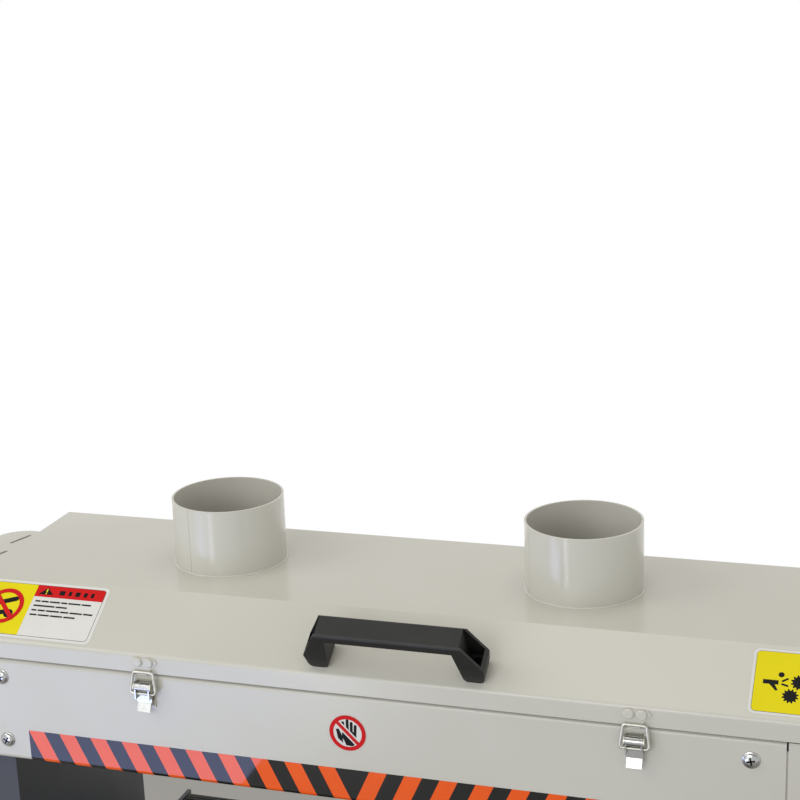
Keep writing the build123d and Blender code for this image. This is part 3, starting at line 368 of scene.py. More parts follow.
for material, names in finish_of.items():
    for name in names:
        piece = nodes[name]
        piece.data.materials.clear()
        piece.data.materials.append(material)
        bevel = piece.modifiers.new("soft_edge", "BEVEL")
        bevel.width = edge_mm.get(name, usual_edge_mm) * MM
        bevel.segments = 2
        bevel.limit_method = "ANGLE"
        bevel.angle_limit = radians(35)
        bevel.harden_normals = True
print("dressed", sum(len(names) for names in finish_of.values()), "of", len(nodes), "nodes")

# %% [markdown]
# ## Making new pieces
# Every new piece is a mesh from points and faces, or a spun or swept outline, joined to a body and named
# with the material slot that it takes its finish from.

# %% Mesh helpers
def piece_of(name, points, faces, materials, body, face_slots=None, smooth=False):
    """A named mesh that rides on a body. face_slots gives each face's material, if there are several."""
    mesh = bpy.data.meshes.new(name)
    mesh.from_pydata([tuple(p) for p in points], [], faces)
    mesh.validate()
    for material in materials:
        mesh.materials.append(material)
    if face_slots:
        mesh.polygons.foreach_set("material_index", face_slots)
    if smooth:
        mesh.shade_smooth()
    made = bpy.data.objects.new(name, mesh)
    bpy.context.scene.collection.objects.link(made)
    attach(made, body)
    return made


def spun(outline, steps, place, axis):
    """Points and faces of an outline of (radius, height) spun round an axis through a place."""
    up = Vector(axis).normalized()
    side = up.orthogonal().normalized()
    front = up.cross(side)
    points, faces = [], []
    for n in range(steps):
        turn_by = tau * n / steps
        out = side * cos(turn_by) + front * sin(turn_by)
        points += [Vector(place) + out * r + up * h for r, h in outline]
    rows = len(outline)
    for n in range(steps):
        here, there = n * rows, (n + 1) % steps * rows
        faces += [(here + k, there + k, there + k + 1, here + k + 1) for k in range(rows - 1)]
    return points, faces


def joined(shapes):
    """Several (points, faces) as one, and the number of faces of each."""
    points, faces, counts = [], [], []
    for shape_points, shape_faces in shapes:
        start = len(points)
        points += shape_points
        faces += [tuple(start + k for k in face) for face in shape_faces]
        counts.append(len(shape_faces))
    return points, faces, counts


def tube(path, radius, sides=10, closed=False):
    """Points and faces of a round bar along a list of points."""
    points, faces = [], []
    count = len(path)
    normal = None
    for n, at in enumerate(path):
        before = path[n - 1] if n or closed else at
        after = path[(n + 1) % count] if n < count - 1 or closed else at
        along = (after - before).normalized()
        normal = along.orthogonal() if normal is None else normal - along * normal.dot(along)
        normal.normalize()
        across = along.cross(normal)
        for k in range(sides):
            turn_by = tau * k / sides
            points.append(at + (normal * cos(turn_by) + across * sin(turn_by)) * radius)
    for n in range(count if closed else count - 1):
        here, there = n * sides, (n + 1) % count * sides
        faces += [(here + k, here + (k + 1) % sides, there + (k + 1) % sides, there + k)
                  for k in range(sides)]
    if not closed:
        faces.append(tuple(reversed(range(sides))))
        faces.append(tuple((count - 1) * sides + k for k in range(sides)))
    return points, faces


print("mesh helpers ready")

# %% [markdown]
# ## Hazard tape
# A striped tape runs along the foot of the front panel and is pressed round its rounded lower edge. Its
# stripes lean towards the middle from both sides and meet in a V. Each stripe is its own strip of faces,
# so its edges are cut as sharply as the printed ones. The tape is 30 mm wide, as stock tape often is.

# %% Hazard tape
panel_low, panel_high = low("front_panel"), high("front_panel")
tape_half, tape_width, tape_lift = 303.6 * MM, 30 * MM, 0.12 * MM
fold_r, lap_under = 4 * MM, 4 * MM
stripe_pitch, stripe_lean = 30.36 * MM, 0.47
flat_run = tape_width - fold_r


def on_panel(x, run):
    """A point on the panel's skin, so far down from the tape's top edge, round the fold and under."""
    top_z = panel_low.z + tape_width
    skin = fold_r + tape_lift
    if run < flat_run:
        return Vector((x, panel_low.y - tape_lift, top_z - run))
    bend = (run - flat_run) / fold_r
    if bend < pi / 2:
        return Vector((x, panel_low.y + fold_r - skin * cos(bend), panel_low.z + fold_r - skin * sin(bend)))
    return Vector((x, panel_low.y + fold_r + (bend - pi / 2) * fold_r, panel_low.z - tape_lift))


run_end = flat_run + fold_r * pi / 2 + lap_under
runs = [flat_run * n / 26 for n in range(26)] + [flat_run + (run_end - flat_run) * n / 12 for n in range(13)]
tape_points, tape_faces, tape_inks = [], [], []
stripe_edges = [-tape_half + stripe_pitch / 2 * n for n in range(-3, 24)]
for mirror in (-1, 1):
    for n, (left, right_edge) in enumerate(zip(stripe_edges, stripe_edges[1:])):
        for a, b in zip(runs, runs[1:]):
            corners = [(left, a), (right_edge, a), (right_edge, b), (left, b)]
            placed = [(min(max(x + stripe_lean * run, -tape_half), 0.0), run) for x, run in corners]
            if max(x for x, _ in placed) - min(x for x, _ in placed) < 1e-6:
                continue
            start = len(tape_points)
            tape_points += [on_panel(-mirror * x, run) for x, run in placed]
            face = (start, start + 3, start + 2, start + 1) if mirror < 0 else tuple(range(start, start + 4))
            tape_faces.append(face)
            tape_inks.append(n % 2)
piece_of("hazard_tape", tape_points, tape_faces, [black_tape, orange_tape], "root",
         tape_inks)
print("tape faces", len(tape_faces))

# %% [markdown]
# ## Labels
# Stickers are thin printed sheets with rounded corners. Each one is drawn as flat shapes, one print layer
# a few hundredths of a millimetre above the last, on a plane given by a centre and two directions. All
# signs are plain, generic pictures, and lines of text are replaced by dark bars.

# %% Drawing on a plane
def rounded(width, height, radius, at=(0, 0), steps=5):
    """The outline of a rounded rectangle, in millimetres, with its centre at a point."""
    outline = []
    for sx, sy, start in ((1, 1, 0), (-1, 1, pi / 2), (-1, -1, pi), (1, -1, 3 * pi / 2)):
        cx, cy = at[0] + sx * (width / 2 - radius), at[1] + sy * (height / 2 - radius)
        for n in range(steps + 1):
            turn_by = start + pi / 2 * n / steps
            outline.append((cx + radius * cos(turn_by), cy + radius * sin(turn_by)))
    return outline


def disc(radius, at=(0, 0), steps=40):
    """A circle's outline in millimetres."""
    return [(at[0] + radius * cos(tau * n / steps), at[1] + radius * sin(tau * n / steps))
            for n in range(steps)]


def bar(start, end, width, steps=6):
    """The outline of a round-ended bar between two points, in millimetres."""
    lean = atan2(end[1] - start[1], end[0] - start[0])
    outline = []
    for centre, first in ((end, lean - pi / 2), (start, lean + pi / 2)):
        for n in range(steps + 1):
            turn_by = first + pi * n / steps
            outline.append((centre[0] + width / 2 * cos(turn_by), centre[1] + width / 2 * sin(turn_by)))
    return outline


def ring(radius, width, at=(0, 0), steps=48):
    """Quads of a flat ring, in millimetres."""
    quads = []
    for n in range(steps):
        pair = [tau * (n + k) / steps for k in (0, 1)]
        inner, outer = radius - width / 2, radius + width / 2
        quads.append([(at[0] + r * cos(a), at[1] + r * sin(a)) for r, a in
                      ((inner, pair[0]), (outer, pair[0]), (outer, pair[1]), (inner, pair[1]))])
    return quads


def printed(name, layers, centre, along, up, body):
    """A sticker: layers of (material, outlines), each above the last, drawn from a centre."""
    along, up = Vector(along).normalized(), Vector(up).normalized()
    out = along.cross(up)
    points, faces, inks, materials = [], [], [], []
    film, ink, hair = 0.12 * MM, 0.05 * MM, 0.011 * MM
    for level, (material, outlines) in enumerate(layers):
        if material not in materials:
            materials.append(material)
        for n, outline in enumerate(outlines):
            start = len(points)
            lift = out * (film + ink * level + hair * (n % 4))
            points += [Vector(centre) + along * (x * MM) + up * (y * MM) + lift for x, y in outline]
            faces.append(tuple(range(start, start + len(outline))))
            inks.append(materials.index(material))
    return piece_of(name, points, faces, materials, body, inks)


print("label helpers ready")

# %% [markdown]
# ## The round sign on the front panel
# A palm behind a red ring and slash says not to reach in. The palm is a rounded block with four fingers
# and a thumb, drawn as plain bars.

# %% Round sign
sign_r, sign_ring = 14.2, 3.5
palm = [rounded(12.6, 8, 2.6, at=(1.4, -2.6)),
        [(-4.9, -3), (7.7, -3), (5.6, -10.6), (3.6, -11.6), (-1.6, -11.2)]]
fingers = [bar((x, -1), (x + lean, top), 2.5) for x, lean, top in
           ((-3.4, -0.4, 9.0), (0.0, 0.1, 11.3), (3.3, 0.3, 9.3), (6.4, 0.6, 6.9))]
thumb = [[(-10.2, 2.8), (-7.6, 3.2), (-4.6, -3.4), (-4.2, -9.4), (-8.6, -5.6)]]
slash = (-9.6, 9.6), (9.6, -9.6)
sign_layers = [
    (white_vinyl, [disc(15.8)]),
    (black_vinyl, palm + fingers + thumb),
    (white_vinyl, [bar(*slash, 5.6)]),
    (red_vinyl, [bar(*slash, 3.1)]),
    (red_vinyl, ring(sign_r, sign_ring)),
]
sign_place = (-2.3 * MM, panel_low.y, panel_high.z - 33.8 * MM)
printed("hand_sign", sign_layers, sign_place, (1, 0, 0), (0, 0, 1), "root")
print("sign at", [round(v / MM) for v in sign_place])

# %% [markdown]
# ## The two labels on the hood's slope
# Both labels lie on the slope, so their plane follows the slope's own direction, and a label's place is
# given by its distance along the hood and down from the crease.

# %% Slope plane
crease = Vector((0, -18.6 * MM, high("hood").z))
slope_drop, slope_run = 37.1, 57.3
slope_length = hypot(slope_drop, slope_run)
upslope = Vector((0, slope_run, slope_drop)) / slope_length


def on_slope(x_mm, down_mm):
    """A point on the hood's slope, so far below the crease."""
    return crease + Vector((x_mm * MM, 0, 0)) - upslope * (down_mm * MM)


print("slope is", round(slope_length, 1), "mm long")

# %% [markdown]
# ### Left label
# A wide white label with a yellow field on its left and a red heading strip. The field holds a ring and
# slash over two bars and a disc, and the rows of words are plain bars of uneven length.

# %% Left label
def words(start, lengths, height):
    """A line of text as a row of plain bars, one for each word."""
    row, x = [], start[0]
    for length in lengths:
        row.append([(x, start[1]), (x + length, start[1]),
                    (x + length, start[1] + height), (x, start[1] + height)])
        x += length + height * 0.8
    return row


def box_of(x_low, x_high, y_low, y_high):
    """A plain rectangle, in millimetres."""
    return [(x_low, y_low), (x_high, y_low), (x_high, y_high), (x_low, y_high)]


label_w, label_h, split_x = 121.0, 59.4, -10.4
edge_x, edge_y, ring_at = label_w / 2 - 3.0, label_h / 2 - 2.6, (-35.0, 1.6)
text_rows = [(9.2, (5, 7, 10, 6, 12, 9)), (4.4, (21, 11)),
             (-0.4, (5, 7, 13, 8, 12, 9)), (-5.2, (7, 11, 12, 11))]
text = [word for y, lengths in text_rows for word in words((split_x + 3.4, y), lengths, 1.5)]
left_layers = [
    (white_vinyl, [rounded(label_w, label_h, 5)]),
    (black_vinyl, [rounded(2 * edge_x, 2 * edge_y, 3.4)]),
    (white_vinyl, [rounded(2 * edge_x - 0.7, 2 * edge_y - 0.7, 3.1)]),
    (yellow_vinyl, [box_of(4 - edge_x, split_x, 0.4 - edge_y, edge_y - 0.4),
                    rounded(12, 2 * edge_y - 0.8, 3.0, at=(6.4 - edge_x, 0))]),
    (red_vinyl, [box_of(split_x, edge_x - 4, edge_y - 12.4, edge_y - 0.4),
                 rounded(12, 12.0, 2.4, at=(edge_x - 6.4, edge_y - 6.4)),
                 box_of(edge_x - 6, edge_x - 0.4, edge_y - 12.4, edge_y - 6)]),
    (black_vinyl, [[(split_x + 3.4, edge_y - 9.8), (split_x + 18, edge_y - 9.8),
                    (split_x + 10.7, edge_y - 2.6)],
                   bar((ring_at[0] - 10, ring_at[1] + 1.5), (ring_at[0] + 9, ring_at[1] + 8.5), 5.0),
                   bar((ring_at[0] - 9, ring_at[1] - 9), (ring_at[0] + 3, ring_at[1] - 6), 5.0),
                   disc(4.4, (ring_at[0] + 7, ring_at[1] - 7.4), 24)]
     + words((split_x + 23.5, edge_y - 9.2), (5.4, 3.0, 4.6, 3.4, 3.0), 4.6) + text),
    (yellow_vinyl, [bar((split_x + 10.7, edge_y - 7.0), (split_x + 10.7, edge_y - 4.4), 1.3),
                    disc(0.7, (split_x + 10.7, edge_y - 8.8), 12)]),
    (red_vinyl, [bar((ring_at[0] - 12, ring_at[1] + 12), (ring_at[0] + 12, ring_at[1] - 12), 4.0)]),
    (red_vinyl, ring(16.5, 4.2, ring_at)),
]
printed("left_label", left_layers, on_slope(-298.6, 33.8), (1, 0, 0), upslope, "hood")
print("text bars:", len(text))

# %% [markdown]
# ### Right label
# A yellow label with a white border: a stub of an arm with two cut fingers, next to two toothed wheels.

# %% Right label
def cog(radius, depth, teeth, at):
    """A toothed wheel's outline, in millimetres."""
    outline = []
    for n in range(teeth * 4):
        turn_by = tau * (n + 0.5) / (teeth * 4)
        reach = radius + (depth if n % 4 in (1, 2) else 0)
        outline.append((at[0] + reach * cos(turn_by), at[1] + reach * sin(turn_by)))
    return outline


right_layers = [
    (white_vinyl, [rounded(52, 58.9, 5)]),
    (black_vinyl, [rounded(47.6, 54.6, 3.6)]),
    (yellow_vinyl, [rounded(47.0, 54.0, 3.3)]),
    (black_vinyl, [cog(4.9, 1.5, 12, (4.4, -11.6)), cog(5.2, 1.6, 12, (10.6, 1.0)),
                   box_of(-17.0, -5.2, -2.3, 1.5), [(-12.4, -2.0), (-8.2, -2.0), (-5.2, -7.3), (-7.0, -7.8)],
                   bar((-2.2, 1.2), (1.4, 3.5), 1.7), bar((-2.4, -1.6), (1.6, -2.7), 1.7),
                   disc(2.3, (-3.6, 6.8), 24)]),
]
printed("right_label", right_layers, on_slope(347.3, 33.5), (1, 0, 0), upslope, "hood")
print("labels on the slope:", 2)

# %% [markdown]
# ## Screws with washers
# The panels are held by pan-head screws with a cross recess, over a plain washer. The head is a domed outline
# spun round, and the recess is a cross of four tapered arms set on its top, in dark blackened steel as
# painted shade. One screw is made, then copied to each place.

# %% Pan-head screw
def screw_mesh(head_r, head_h, washer_r):
    """A domed head with a cross recess and a washer, standing on z = 0."""
    dome = [(head_r * cos(a), head_h * (0.35 + 0.65 * sin(a))) for a in
            [pi / 2 * n / 8 for n in range(8)]] + [(0.0001 * MM, head_h)]
    outline = [(head_r, 0.9 * MM)] + dome
    washer = [(0.4 * head_r, 0.9 * MM), (washer_r - 0.3 * MM, 0.9 * MM), (washer_r, 0.6 * MM),
              (washer_r, 0.0)]
    points, faces, _ = joined([spun(outline, 32, (0, 0, 0), (0, 0, 1)),
                               spun(washer, 36, (0, 0, 0), (0, 0, 1))])
    mesh = bpy.data.meshes.new("pan_head_screw")
    mesh.from_pydata([tuple(p) for p in points], [], faces)
    return mesh


def painted_shade_cross(reach, width, top, depth):
    """A cross whose arms narrow as they go down, set on the head in dark steel as painted shade inside the
    recess.
    """
    points, faces = [], []
    for quarter in range(4):
        turned_by = Matrix.Rotation(quarter * pi / 2, 3, "Z")
        half = width / 2
        arm = [(0, -half, top), (reach, -half, top), (reach, half, top), (0, half, top),
               (0, -half * 0.4, top - depth), (reach * 0.4, -half * 0.4, top - depth),
               (reach * 0.4, half * 0.4, top - depth), (0, half * 0.4, top - depth)]
        start = len(points)
        points += [turned_by @ Vector(p) for p in arm]
        faces += [tuple(start + k for k in face) for face in
                  ((0, 1, 5, 4), (1, 2, 6, 5), (2, 3, 7, 6), (4, 5, 6, 7), (3, 2, 1, 0))]
    return points, faces


head_r, head_h, washer_r = 5.9 * MM, 3.4 * MM, 7.0 * MM
# The dark cross stands for the recess: its colour is painted shade, not the screw's own finish.
recess_points, recess_faces = painted_shade_cross(3.3 * MM, 1.3 * MM, head_h + 0.05 * MM, 1.6 * MM)


def screws(name, places, out, body, scale=1.0, tilt=0.0, stands_for=()):
    """Copies of the screw at several places, all facing one way."""
    base = screw_mesh(head_r, head_h, washer_r)
    bm = bmesh.new()
    turned_out = Vector((0, 0, 1)).rotation_difference(Vector(out)).to_matrix().to_4x4()
    for n, place in enumerate(places):
        spin = Matrix.Rotation(tilt + n * 0.7, 4, "Z")
        whole = Matrix.Translation(place) @ turned_out @ spin @ Matrix.Scale(scale, 4)
        for points, faces, dark in (([v.co for v in base.vertices],
                                     [tuple(p.vertices) for p in base.polygons], 0),
                                    (recess_points, recess_faces[:], 1)):
            verts = [bm.verts.new(whole @ Vector(p)) for p in points]
            for face in faces:
                made = bm.faces.new([verts[k] for k in face])
                # The cross takes the dark blackened steel slot: painted shade inside the recess.
                made.material_index = dark
                made.smooth = not dark
    mesh = bpy.data.meshes.new(name)
    bm.to_mesh(mesh)
    bm.free()
    mesh.materials.append(zinc_plate)
    mesh.materials.append(blackened_steel)
    made = bpy.data.objects.new(name, mesh)
    bpy.context.scene.collection.objects.link(made)
    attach(made, body)
    if stands_for:
        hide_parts(*stands_for)
    return made


# %% [markdown]
# ### Panel screws
# The same screw holds the front and rear panels. Smaller ones hold the belt guard and the control box.

# %% Panel screws
screw_x, screw_down = 325.5 * MM, (17.5 * MM, 78.1 * MM)
front_places = [(side * screw_x, panel_low.y, panel_high.z - d) for side in (-1, 1) for d in screw_down]
rear_places = [(x, high("rear_panel").y, z) for x, _, z in front_places]
screws("front_panel_screws", front_places, (0, -1, 0), "root", tilt=0.4,
       stands_for=["panel_screws"])
screws("rear_panel_screws", rear_places, (0, 1, 0), "root", tilt=0.9)
guard_low, guard_high = low("belt_guard"), high("belt_guard")
guard_screw_z = [guard_low.z + 30 * MM, (guard_low.z + guard_high.z) / 2, guard_high.z - 60 * MM]
for side_y, out, side_name in ((guard_low.y, -1, "front"), (guard_high.y, 1, "back")):
    screws(f"guard_screws_{side_name}", [(guard_high.x - 10 * MM, side_y, z) for z in guard_screw_z],
           (0, out, 0), "root", scale=0.8)
box_low, box_high = low("control_box"), high("control_box")
screws("control_box_screws",
       [(x, box_low.y, z) for x in (box_low.x + 8 * MM, box_high.x - 8 * MM)
        for z in (box_low.z + 9 * MM, box_high.z - 9 * MM)],
       (0, -1, 0), "root", scale=0.6)
print("screws placed:", len(front_places) + len(rear_places) + 10)

# %% [markdown]
# ## Welds of the dust ports
# Each port is a rolled tube with one upright seam, fillet-welded to the hood. The weld was ground and
# painted, so it shows as a low, slightly uneven bead at the foot and a faint upright line.

# %% Port welds
hood_top, port_top = high("hood").z, high("dust_ports").z
port_y, port_xs, port_r = 70 * MM, (-162.2 * MM, 166.8 * MM), 50.8 * MM
weld_shapes = []
for n, x in enumerate(port_xs):
    bead = []
    for k in range(72):
        turn_by = tau * k / 72
        out = port_r + (0.2 + 0.3 * sin(turn_by * 11 + n) * sin(turn_by * 5)) * MM
        bead.append(Vector((x + out * cos(turn_by), port_y + out * sin(turn_by), hood_top)))
    weld_shapes.append(tube(bead, 1.3 * MM, sides=8, closed=True))
    seam_turn = tau * (0.69, 0.60)[n]
    foot = Vector((x + port_r * cos(seam_turn), port_y + port_r * sin(seam_turn), hood_top))
    seam = [foot + Vector((0, 0, (port_top - hood_top - 1 * MM) * k / 12)) for k in range(13)]
    weld_shapes.append(tube(seam, 0.35 * MM, sides=8))
weld_points, weld_faces, _ = joined(weld_shapes)
piece_of("port_welds", weld_points, weld_faces, [cream_enamel], "hood", smooth=True)
print("weld beads:", len(weld_shapes))

# %% [markdown]
# ## Marks of the control box and the height scale
# A yellow collar sets off the stop button, a grey one the start button, and the speed knob turns over a
# scale of ticks. A ruled strip on the right column starts level with the top of the belt at its lowest
# and is as long as the table's travel.

# %% Control marks
def ticks(start, end, count, inner, outer, width):
    """Short bars round a dial, from one angle to another in turns."""
    made = []
    for n in range(count):
        turn_by = tau * (start + (end - start) * n / (count - 1))
        way = Vector((cos(turn_by), sin(turn_by)))
        made.append(bar(way * inner, way * outer, width))
    return made


box_face = low("control_box").y
marks = {"stop_button": [(yellow_vinyl, [disc(21)])],
         "start_button": [(grey_vinyl, [disc(13.5)])],
         "speed_knob": [(black_vinyl, ticks(0.65, -0.15, 11, 16.5, 20.0, 0.9))]}
for node, layers in marks.items():
    spot = middle(node)
    printed(node + "_marks", layers, (spot.x, box_face, spot.z), (1, 0, 0), (0, 0, 1), "root")
print("control marks:", len(marks))

# %% [markdown]
# ### Height scale
# A line every two millimetres, a longer one every ten and the longest every twenty.

# %% Height scale
scale_face, scale_x = low("column_fronts").y, high("column_fronts").x - 12 * MM
scale_mm = 166
scale_z = high("conveyor_belt").z + scale_mm / 2 * MM
rule = [box_of(-6, -6 + (9 if n % 10 == 0 else 6.5 if n % 5 == 0 else 4), n * 2 - scale_mm / 2 - 0.2,
               n * 2 - scale_mm / 2 + 0.2) for n in range(scale_mm // 2 + 1)]
printed("height_scale", [(white_vinyl, [rounded(15, scale_mm + 8, 2)]), (black_vinyl, rule)],
        (scale_x, scale_face, scale_z), (1, 0, 0), (0, 0, 1), "root")
print("scale lines:", len(rule), "from", round(high("conveyor_belt").z / MM, 1), "mm")

# %% [markdown]
# ## Conveyor belt
# The belt is rubber with low ribs across it, which grip the board. Its outline is the two runs and two
# rollers, with a square rib every few millimetres, drawn once and stretched along X.

# %% Ribbed belt
belt_low, belt_high = low("conveyor_belt"), high("conveyor_belt")
belt_mid = (belt_low + belt_high) / 2
outer_r = (belt_high.z - belt_low.z) / 2
straight = (belt_high.y - belt_low.y) / 2 - outer_r
skin, rib_h, rib_pitch, rib_w = 2.5 * MM, 1.0 * MM, 5.0 * MM, 2.4 * MM


def belt_point(run, radius):
    """A point (y, z) so far round the belt's loop, at a distance from the rollers' axles."""
    lap = 4 * straight + tau * outer_r
    run %= lap
    half = 2 * straight
    for sign, start in ((1, 0), (-1, half + pi * outer_r)):
        run_here = run - start
        if 0 <= run_here < half:
            return (belt_mid.y + sign * (-straight + run_here), belt_mid.z + sign * radius)
        if half <= run_here < half + pi * outer_r:
            a = (run_here - half) / outer_r
            return (belt_mid.y + sign * (straight + radius * sin(a)), belt_mid.z + sign * radius * cos(a))
    return (belt_mid.y - straight, belt_mid.z + radius)


lap = 4 * straight + tau * outer_r
rib_count = int(lap / rib_pitch)
rib_pitch = lap / rib_count
profile = []
for n in range(rib_count):
    start = n * rib_pitch
    for offset, radius in ((0, outer_r - rib_h), (0.3 * MM, outer_r), (rib_w, outer_r),
                           (rib_w + 0.3 * MM, outer_r - rib_h)):
        profile.append((start + offset, radius))
belt_points, belt_faces = [], []
ends = (belt_low.x, belt_high.x)
for x in ends:
    belt_points += [(x, *belt_point(run, radius)) for run, radius in profile]
    belt_points += [(x, *belt_point(run, outer_r - skin)) for run, _ in profile]
count = len(profile)
for n in range(count):
    m = (n + 1) % count
    belt_faces.append((n, m, 2 * count + m, 2 * count + n))
    belt_faces.append((count + m, count + n, 3 * count + n, 3 * count + m))
    belt_faces.append((m, n, count + n, count + m))
    belt_faces.append((2 * count + n, 2 * count + m, 3 * count + m, 3 * count + n))
ribbed = piece_of("ribbed_belt", belt_points, belt_faces, [belt_rubber], "table")
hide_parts("conveyor_belt")
print("belt ribs", rib_count)

# %% [markdown]
# ## Lift chain
# The four lift nuts are turned together by a roller chain. Its path is a belt round five equal sprockets:
# straight runs joined by arcs. Along it, each pitch holds a roller between two side plates shaped like a
# figure of eight, inner and outer plates taking turns.

# %% Chain path
nut_places = [middle(f"lift_nut_{name}") for name in ("back_left", "back_right", "front_right", "front_left")]
chain_z = middle("lift_chain").z
drive_place = middle("lift_drive")
turning_points = [Vector((p.x, p.y, chain_z)) for p in nut_places]
turning_points.insert(3, Vector((drive_place.x, drive_place.y, chain_z)))
pitch_r = 24.6 * MM


def chain_route():
    """The chain's centre line, clockwise from above, as closely spaced points."""
    route = []
    count = len(turning_points)
    for n, here in enumerate(turning_points):
        before, after = turning_points[n - 1], turning_points[(n + 1) % count]
        into, out_of = (here - before).normalized(), (after - here).normalized()
        start = Vector((-into.y, into.x, 0))
        end = Vector((-out_of.y, out_of.x, 0))
        swing = start.angle(end)
        steps = max(2, round(swing / 0.1))
        route += [here + (start * (1 - k / steps) + end * k / steps).normalized() * pitch_r
                  for k in range(steps + 1)]
    return route


def spaced(route, pitch):
    """Points a whole number of pitches apart round a closed route."""
    closed = route + route[:1]
    lengths = [(b - a).length for a, b in zip(closed, closed[1:])]
    total = sum(lengths)
    number = 2 * round(total / pitch / 2)
    step, made, travelled, n = total / number, [], 0.0, 0
    for k in range(number):
        target = k * step
        while travelled + lengths[n] < target:
            travelled += lengths[n]
            n += 1
        share = (target - travelled) / lengths[n]
        made.append(closed[n].lerp(closed[n + 1], share))
    return made


pins = spaced(chain_route(), 9.525 * MM)
print("chain pins", len(pins))

# %% [markdown]
# ### Chain links
# Each link is two side plates round two pins, with a roller on each pin.

# %% Chain links
def plate(a, b, z_low, z_high, wide):
    """A side plate round two pins, narrowed at its waist."""
    along = (b - a).normalized()
    across = Vector((-along.y, along.x, 0))
    reach = (b - a).length
    outline = []
    for centre, first in ((b, -pi / 2), (a, pi / 2)):
        outline += [centre + (along * cos(first + pi * k / 6) + across * sin(first + pi * k / 6)) * wide
                    for k in range(7)]
        waist = (a + b) / 2 + across * wide * 0.7 * (1 if centre is b else -1)
        outline.append(waist)
    count = len(outline)
    points = [Vector((p.x, p.y, z)) for z in (z_low, z_high) for p in outline]
    faces = [tuple(reversed(range(count))), tuple(range(count, 2 * count))]
    faces += [(k, (k + 1) % count, count + (k + 1) % count, count + k) for k in range(count)]
    return points, faces


shapes = []
plate_t, inner_at, outer_at = 0.9 * MM, 1.7 * MM, 2.7 * MM
for n, pin in enumerate(pins):
    after = pins[(n + 1) % len(pins)]
    at = outer_at if n % 2 else inner_at
    shapes.append(plate(pin, after, chain_z + at - plate_t, chain_z + at, 3.4 * MM))
    shapes.append(plate(pin, after, chain_z - at, chain_z - at + plate_t, 3.4 * MM))
    barrel = [(0.0001 * MM, -2.9 * MM), (1.2 * MM, -2.9 * MM), (1.2 * MM, -1.0 * MM), (2.5 * MM, -0.9 * MM),
              (2.5 * MM, 0.9 * MM), (1.2 * MM, 1.0 * MM), (1.2 * MM, 2.9 * MM), (0.0001 * MM, 2.9 * MM)]
    shapes.append(spun(barrel, 8, pin, (0, 0, 1)))
points, faces, _ = joined(shapes)
links = piece_of("chain_links", points, faces, [blackened_steel], "root")
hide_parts("lift_chain")
print("chain faces", len(faces))

# %% [markdown]
# ## Latch keepers
# Each keeper on the hood's lip ends below in a small hook, turned outwards and up, which the latch's wire
# loop pulls on. The hook is a strip of the same painted sheet, rolled through a little more than a
# quarter turn in front of the lip and under the wire.

# %% Keeper hooks
latch_sides = ("left", "right")
for name in latch_sides:
    bail_low, bail_high = low(f"latch_bail_{name}"), high(f"latch_bail_{name}")
    wire_r = 1.25 * MM
    wire = Vector(((bail_low.x + bail_high.x) / 2, low("latch_keepers").y, bail_high.z - wire_r))
    keeper_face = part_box("latch_keepers")[0].y + 1.8 * MM
    wire_y = keeper_face - 0.4 * MM - wire_r
    strip_t, strip_half, inner_r = 0.9 * MM, 4.6 * MM, wire_r + 0.35 * MM
    hook = []
    for n in range(11):
        turn_by = radians(-8 + 165 * n / 10)
        hook.append((turn_by, inner_r))
    outline = [(wire_y + r * cos(a), wire.z - r * sin(a)) for a, r in hook]
    outline += [(wire_y + (r + strip_t) * cos(a), wire.z - (r + strip_t) * sin(a)) for a, r in reversed(hook)]
    count = len(outline)
    points = [Vector((wire.x + side * strip_half, y, z)) for side in (-1, 1) for y, z in outline]
    faces = [(k, (k + 1) % count, count + (k + 1) % count, count + k) for k in range(count)]
    half = count // 2
    for k in range(half - 1):
        faces.append((k + 1, k, count - 1 - k, count - 2 - k))
        faces.append((count + k, count + k + 1, 2 * count - 2 - k, 2 * count - 1 - k))
    piece_of(f"keeper_hook_{name}", points, faces, [cream_enamel], "hood")
print("hooks at x", [round(middle(f"latch_bail_{n}").x / MM) for n in latch_sides])

# %% [markdown]
# ## Springs over the pressure rollers
# Each roller's yoke slides up on two pins against a coil spring. A spring is a wire on a helix, drawn between
# the top of the yoke and the fixed arm above it.

# %% Yoke springs
for name in ("front", "back"):
    yoke = f"press_yoke_{name}"
    yoke_top, arm_low = high(yoke).z, high("press_guides").z - 8 * MM
    for side, side_name in ((-1, "left"), (1, "right")):
        centre = Vector((side * 336 * MM, middle(yoke).y, yoke_top))
        coils, wire_r, coil_r = 4, 0.8 * MM, 6.0 * MM
        tall = arm_low - yoke_top - 2 * wire_r
        helix = [centre + Vector((coil_r * cos(tau * coils * n / 64), coil_r * sin(tau * coils * n / 64),
                                  wire_r + tall * n / 64)) for n in range(65)]
        points, faces = tube(helix, wire_r, sides=8)
        spring = piece_of(f"spring_{name}_{side_name}", points, faces, [blackened_steel], "root",
                          smooth=True)
        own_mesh(spring)
print("spring length", round((arm_low - yoke_top) / MM, 1), "mm")

# %% [markdown]
# ## The studio
# A round grey floor, a pale surround and soft lights. The large surfaces are lit mostly by the surround,
# as in a product studio.

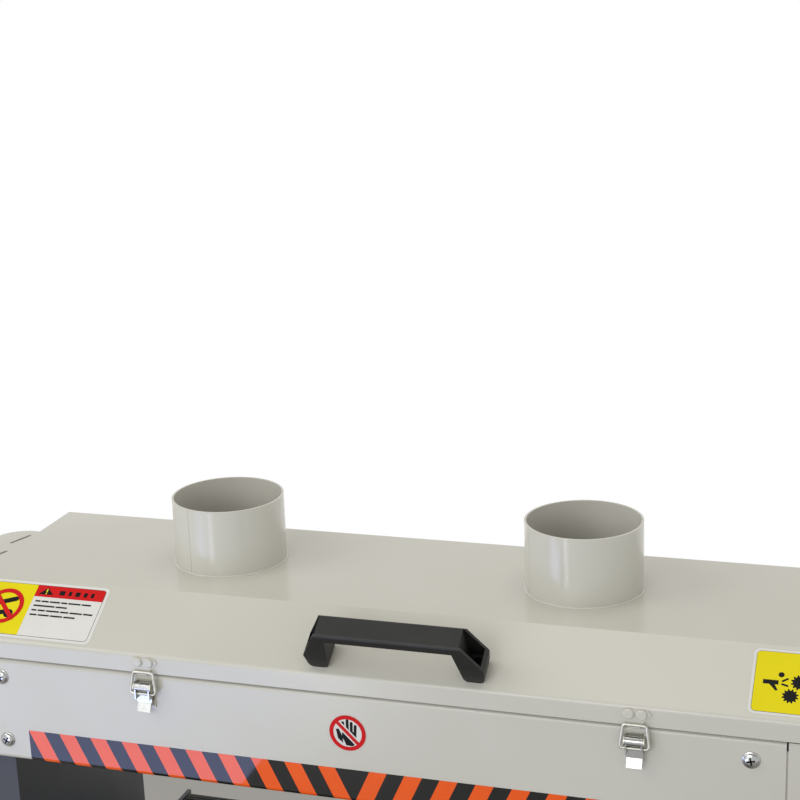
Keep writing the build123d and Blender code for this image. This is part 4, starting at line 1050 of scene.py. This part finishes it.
# %% Floor
floor_r = 2.3
floor_points, floor_faces = spun([(0.001, 0.0), (floor_r * 0.98, 0.0), (floor_r, -0.02)], 96, (0, 0, -0.0005),
                                 (0, 0, 1))
floor_paint = bpy.data.materials.new("studio_floor")
floor_paint.use_nodes = True
tree = floor_paint.node_tree
tree.nodes.clear()
sweep_marks = add(tree, "ShaderNodeTexNoise", {"Vector": add(tree, "ShaderNodeTexCoord").outputs["Object"],
                                               "Scale": per_metre(300), "Detail": 4.0})
floor_tone = add(tree, "ShaderNodeMix", {"Factor": sweep_marks.outputs["Fac"], "A": linear("#B4B1AC"),
                                         "B": linear("#ABA8A3")}, data_type="RGBA")
close(tree, colour=floor_tone.outputs["Result"], roughness=0.7)
floor_mesh = bpy.data.meshes.new("floor")
floor_mesh.from_pydata([tuple(p) for p in floor_points], [], floor_faces)
floor_mesh.materials.append(floor_paint)
floor = bpy.data.objects.new("floor", floor_mesh)
bpy.context.scene.collection.objects.link(floor)

# %% [markdown]
# ### Surround
# The surround is brightest behind the machine, greyer in front and dimmer overhead, and depends only on
# direction.

# %% Surround
world = bpy.data.worlds.new("studio_surround")
world.use_nodes = True
tree = world.node_tree
background = tree.nodes["Background"]
facing = add(tree, "ShaderNodeSeparateXYZ", {"Vector": add(tree, "ShaderNodeTexCoord").outputs["Generated"]})
height = add(tree, "ShaderNodeMapRange", {"Value": facing.outputs["Z"], "From Min": 0.25, "From Max": 0.75})
depth = add(tree, "ShaderNodeMapRange", {"Value": facing.outputs["Y"], "From Min": -0.4, "From Max": 0.2})
walls = add(tree, "ShaderNodeMix", {"Factor": depth.outputs["Result"], "A": (0.76, 0.775, 0.79, 1.0),
                                    "B": (1.0, 1.0, 1.0, 1.0)}, data_type="RGBA")
ceiling = add(tree, "ShaderNodeMix", {"Factor": height.outputs["Result"], "A": walls.outputs["Result"],
                                      "B": (0.46, 0.46, 0.44, 1.0)}, data_type="RGBA")
tree.links.new(ceiling.outputs["Result"], background.inputs["Color"])
background.inputs["Strength"].default_value = 1.0
bpy.context.scene.world = world
bpy.context.scene.view_settings.view_transform = "Standard"

# %% [markdown]
# ### Lights
# A low cool panel gives the front sheet its sheen, a tall strip gives each port its upright highlight, and
# three soft lamps light the slope, the top and the front.

# %% Lights
def soft_light(name, place, target, width, height, watts, colour):
    """A rectangular lamp at a place, turned to a target."""
    lamp = bpy.data.lights.new(name, "AREA")
    lamp.shape, lamp.size, lamp.size_y, lamp.energy = "RECTANGLE", width, height, watts
    lamp.color = linear(colour)[:3]
    made = bpy.data.objects.new(name, lamp)
    made.location = place
    made.rotation_euler = (Vector(target) - Vector(place)).to_track_quat("-Z", "Y").to_euler()
    bpy.context.scene.collection.objects.link(made)
    return made


soft_light("window_glow", (-1.55, -1.95, 0.03), (-1.55, -1.95, 1.0), 1.5, 1.1, 18, "#B0C0FF")
soft_light("tall_strip", (-0.72, -2.0, 0.55), (-0.72, 0.0, 0.55), 0.22, 1.1, 3.2, "#F4F4FF")
soft_light("key", (-1.8, -1.0, 2.8), (0, 0, 1.0), 1.4, 1.4, 16, "#FFFFFF")
soft_light("front_fill", (-0.5, -2.6, 2.0), (-0.1, 0, 1.0), 1.6, 1.0, 17, "#FFFFFF")
soft_light("top_fill", (0.3, 0.3, 3.2), (0.1, 0.1, 1.0), 1.6, 1.6, 10, "#FFF9EE")
print("lights:", 5)
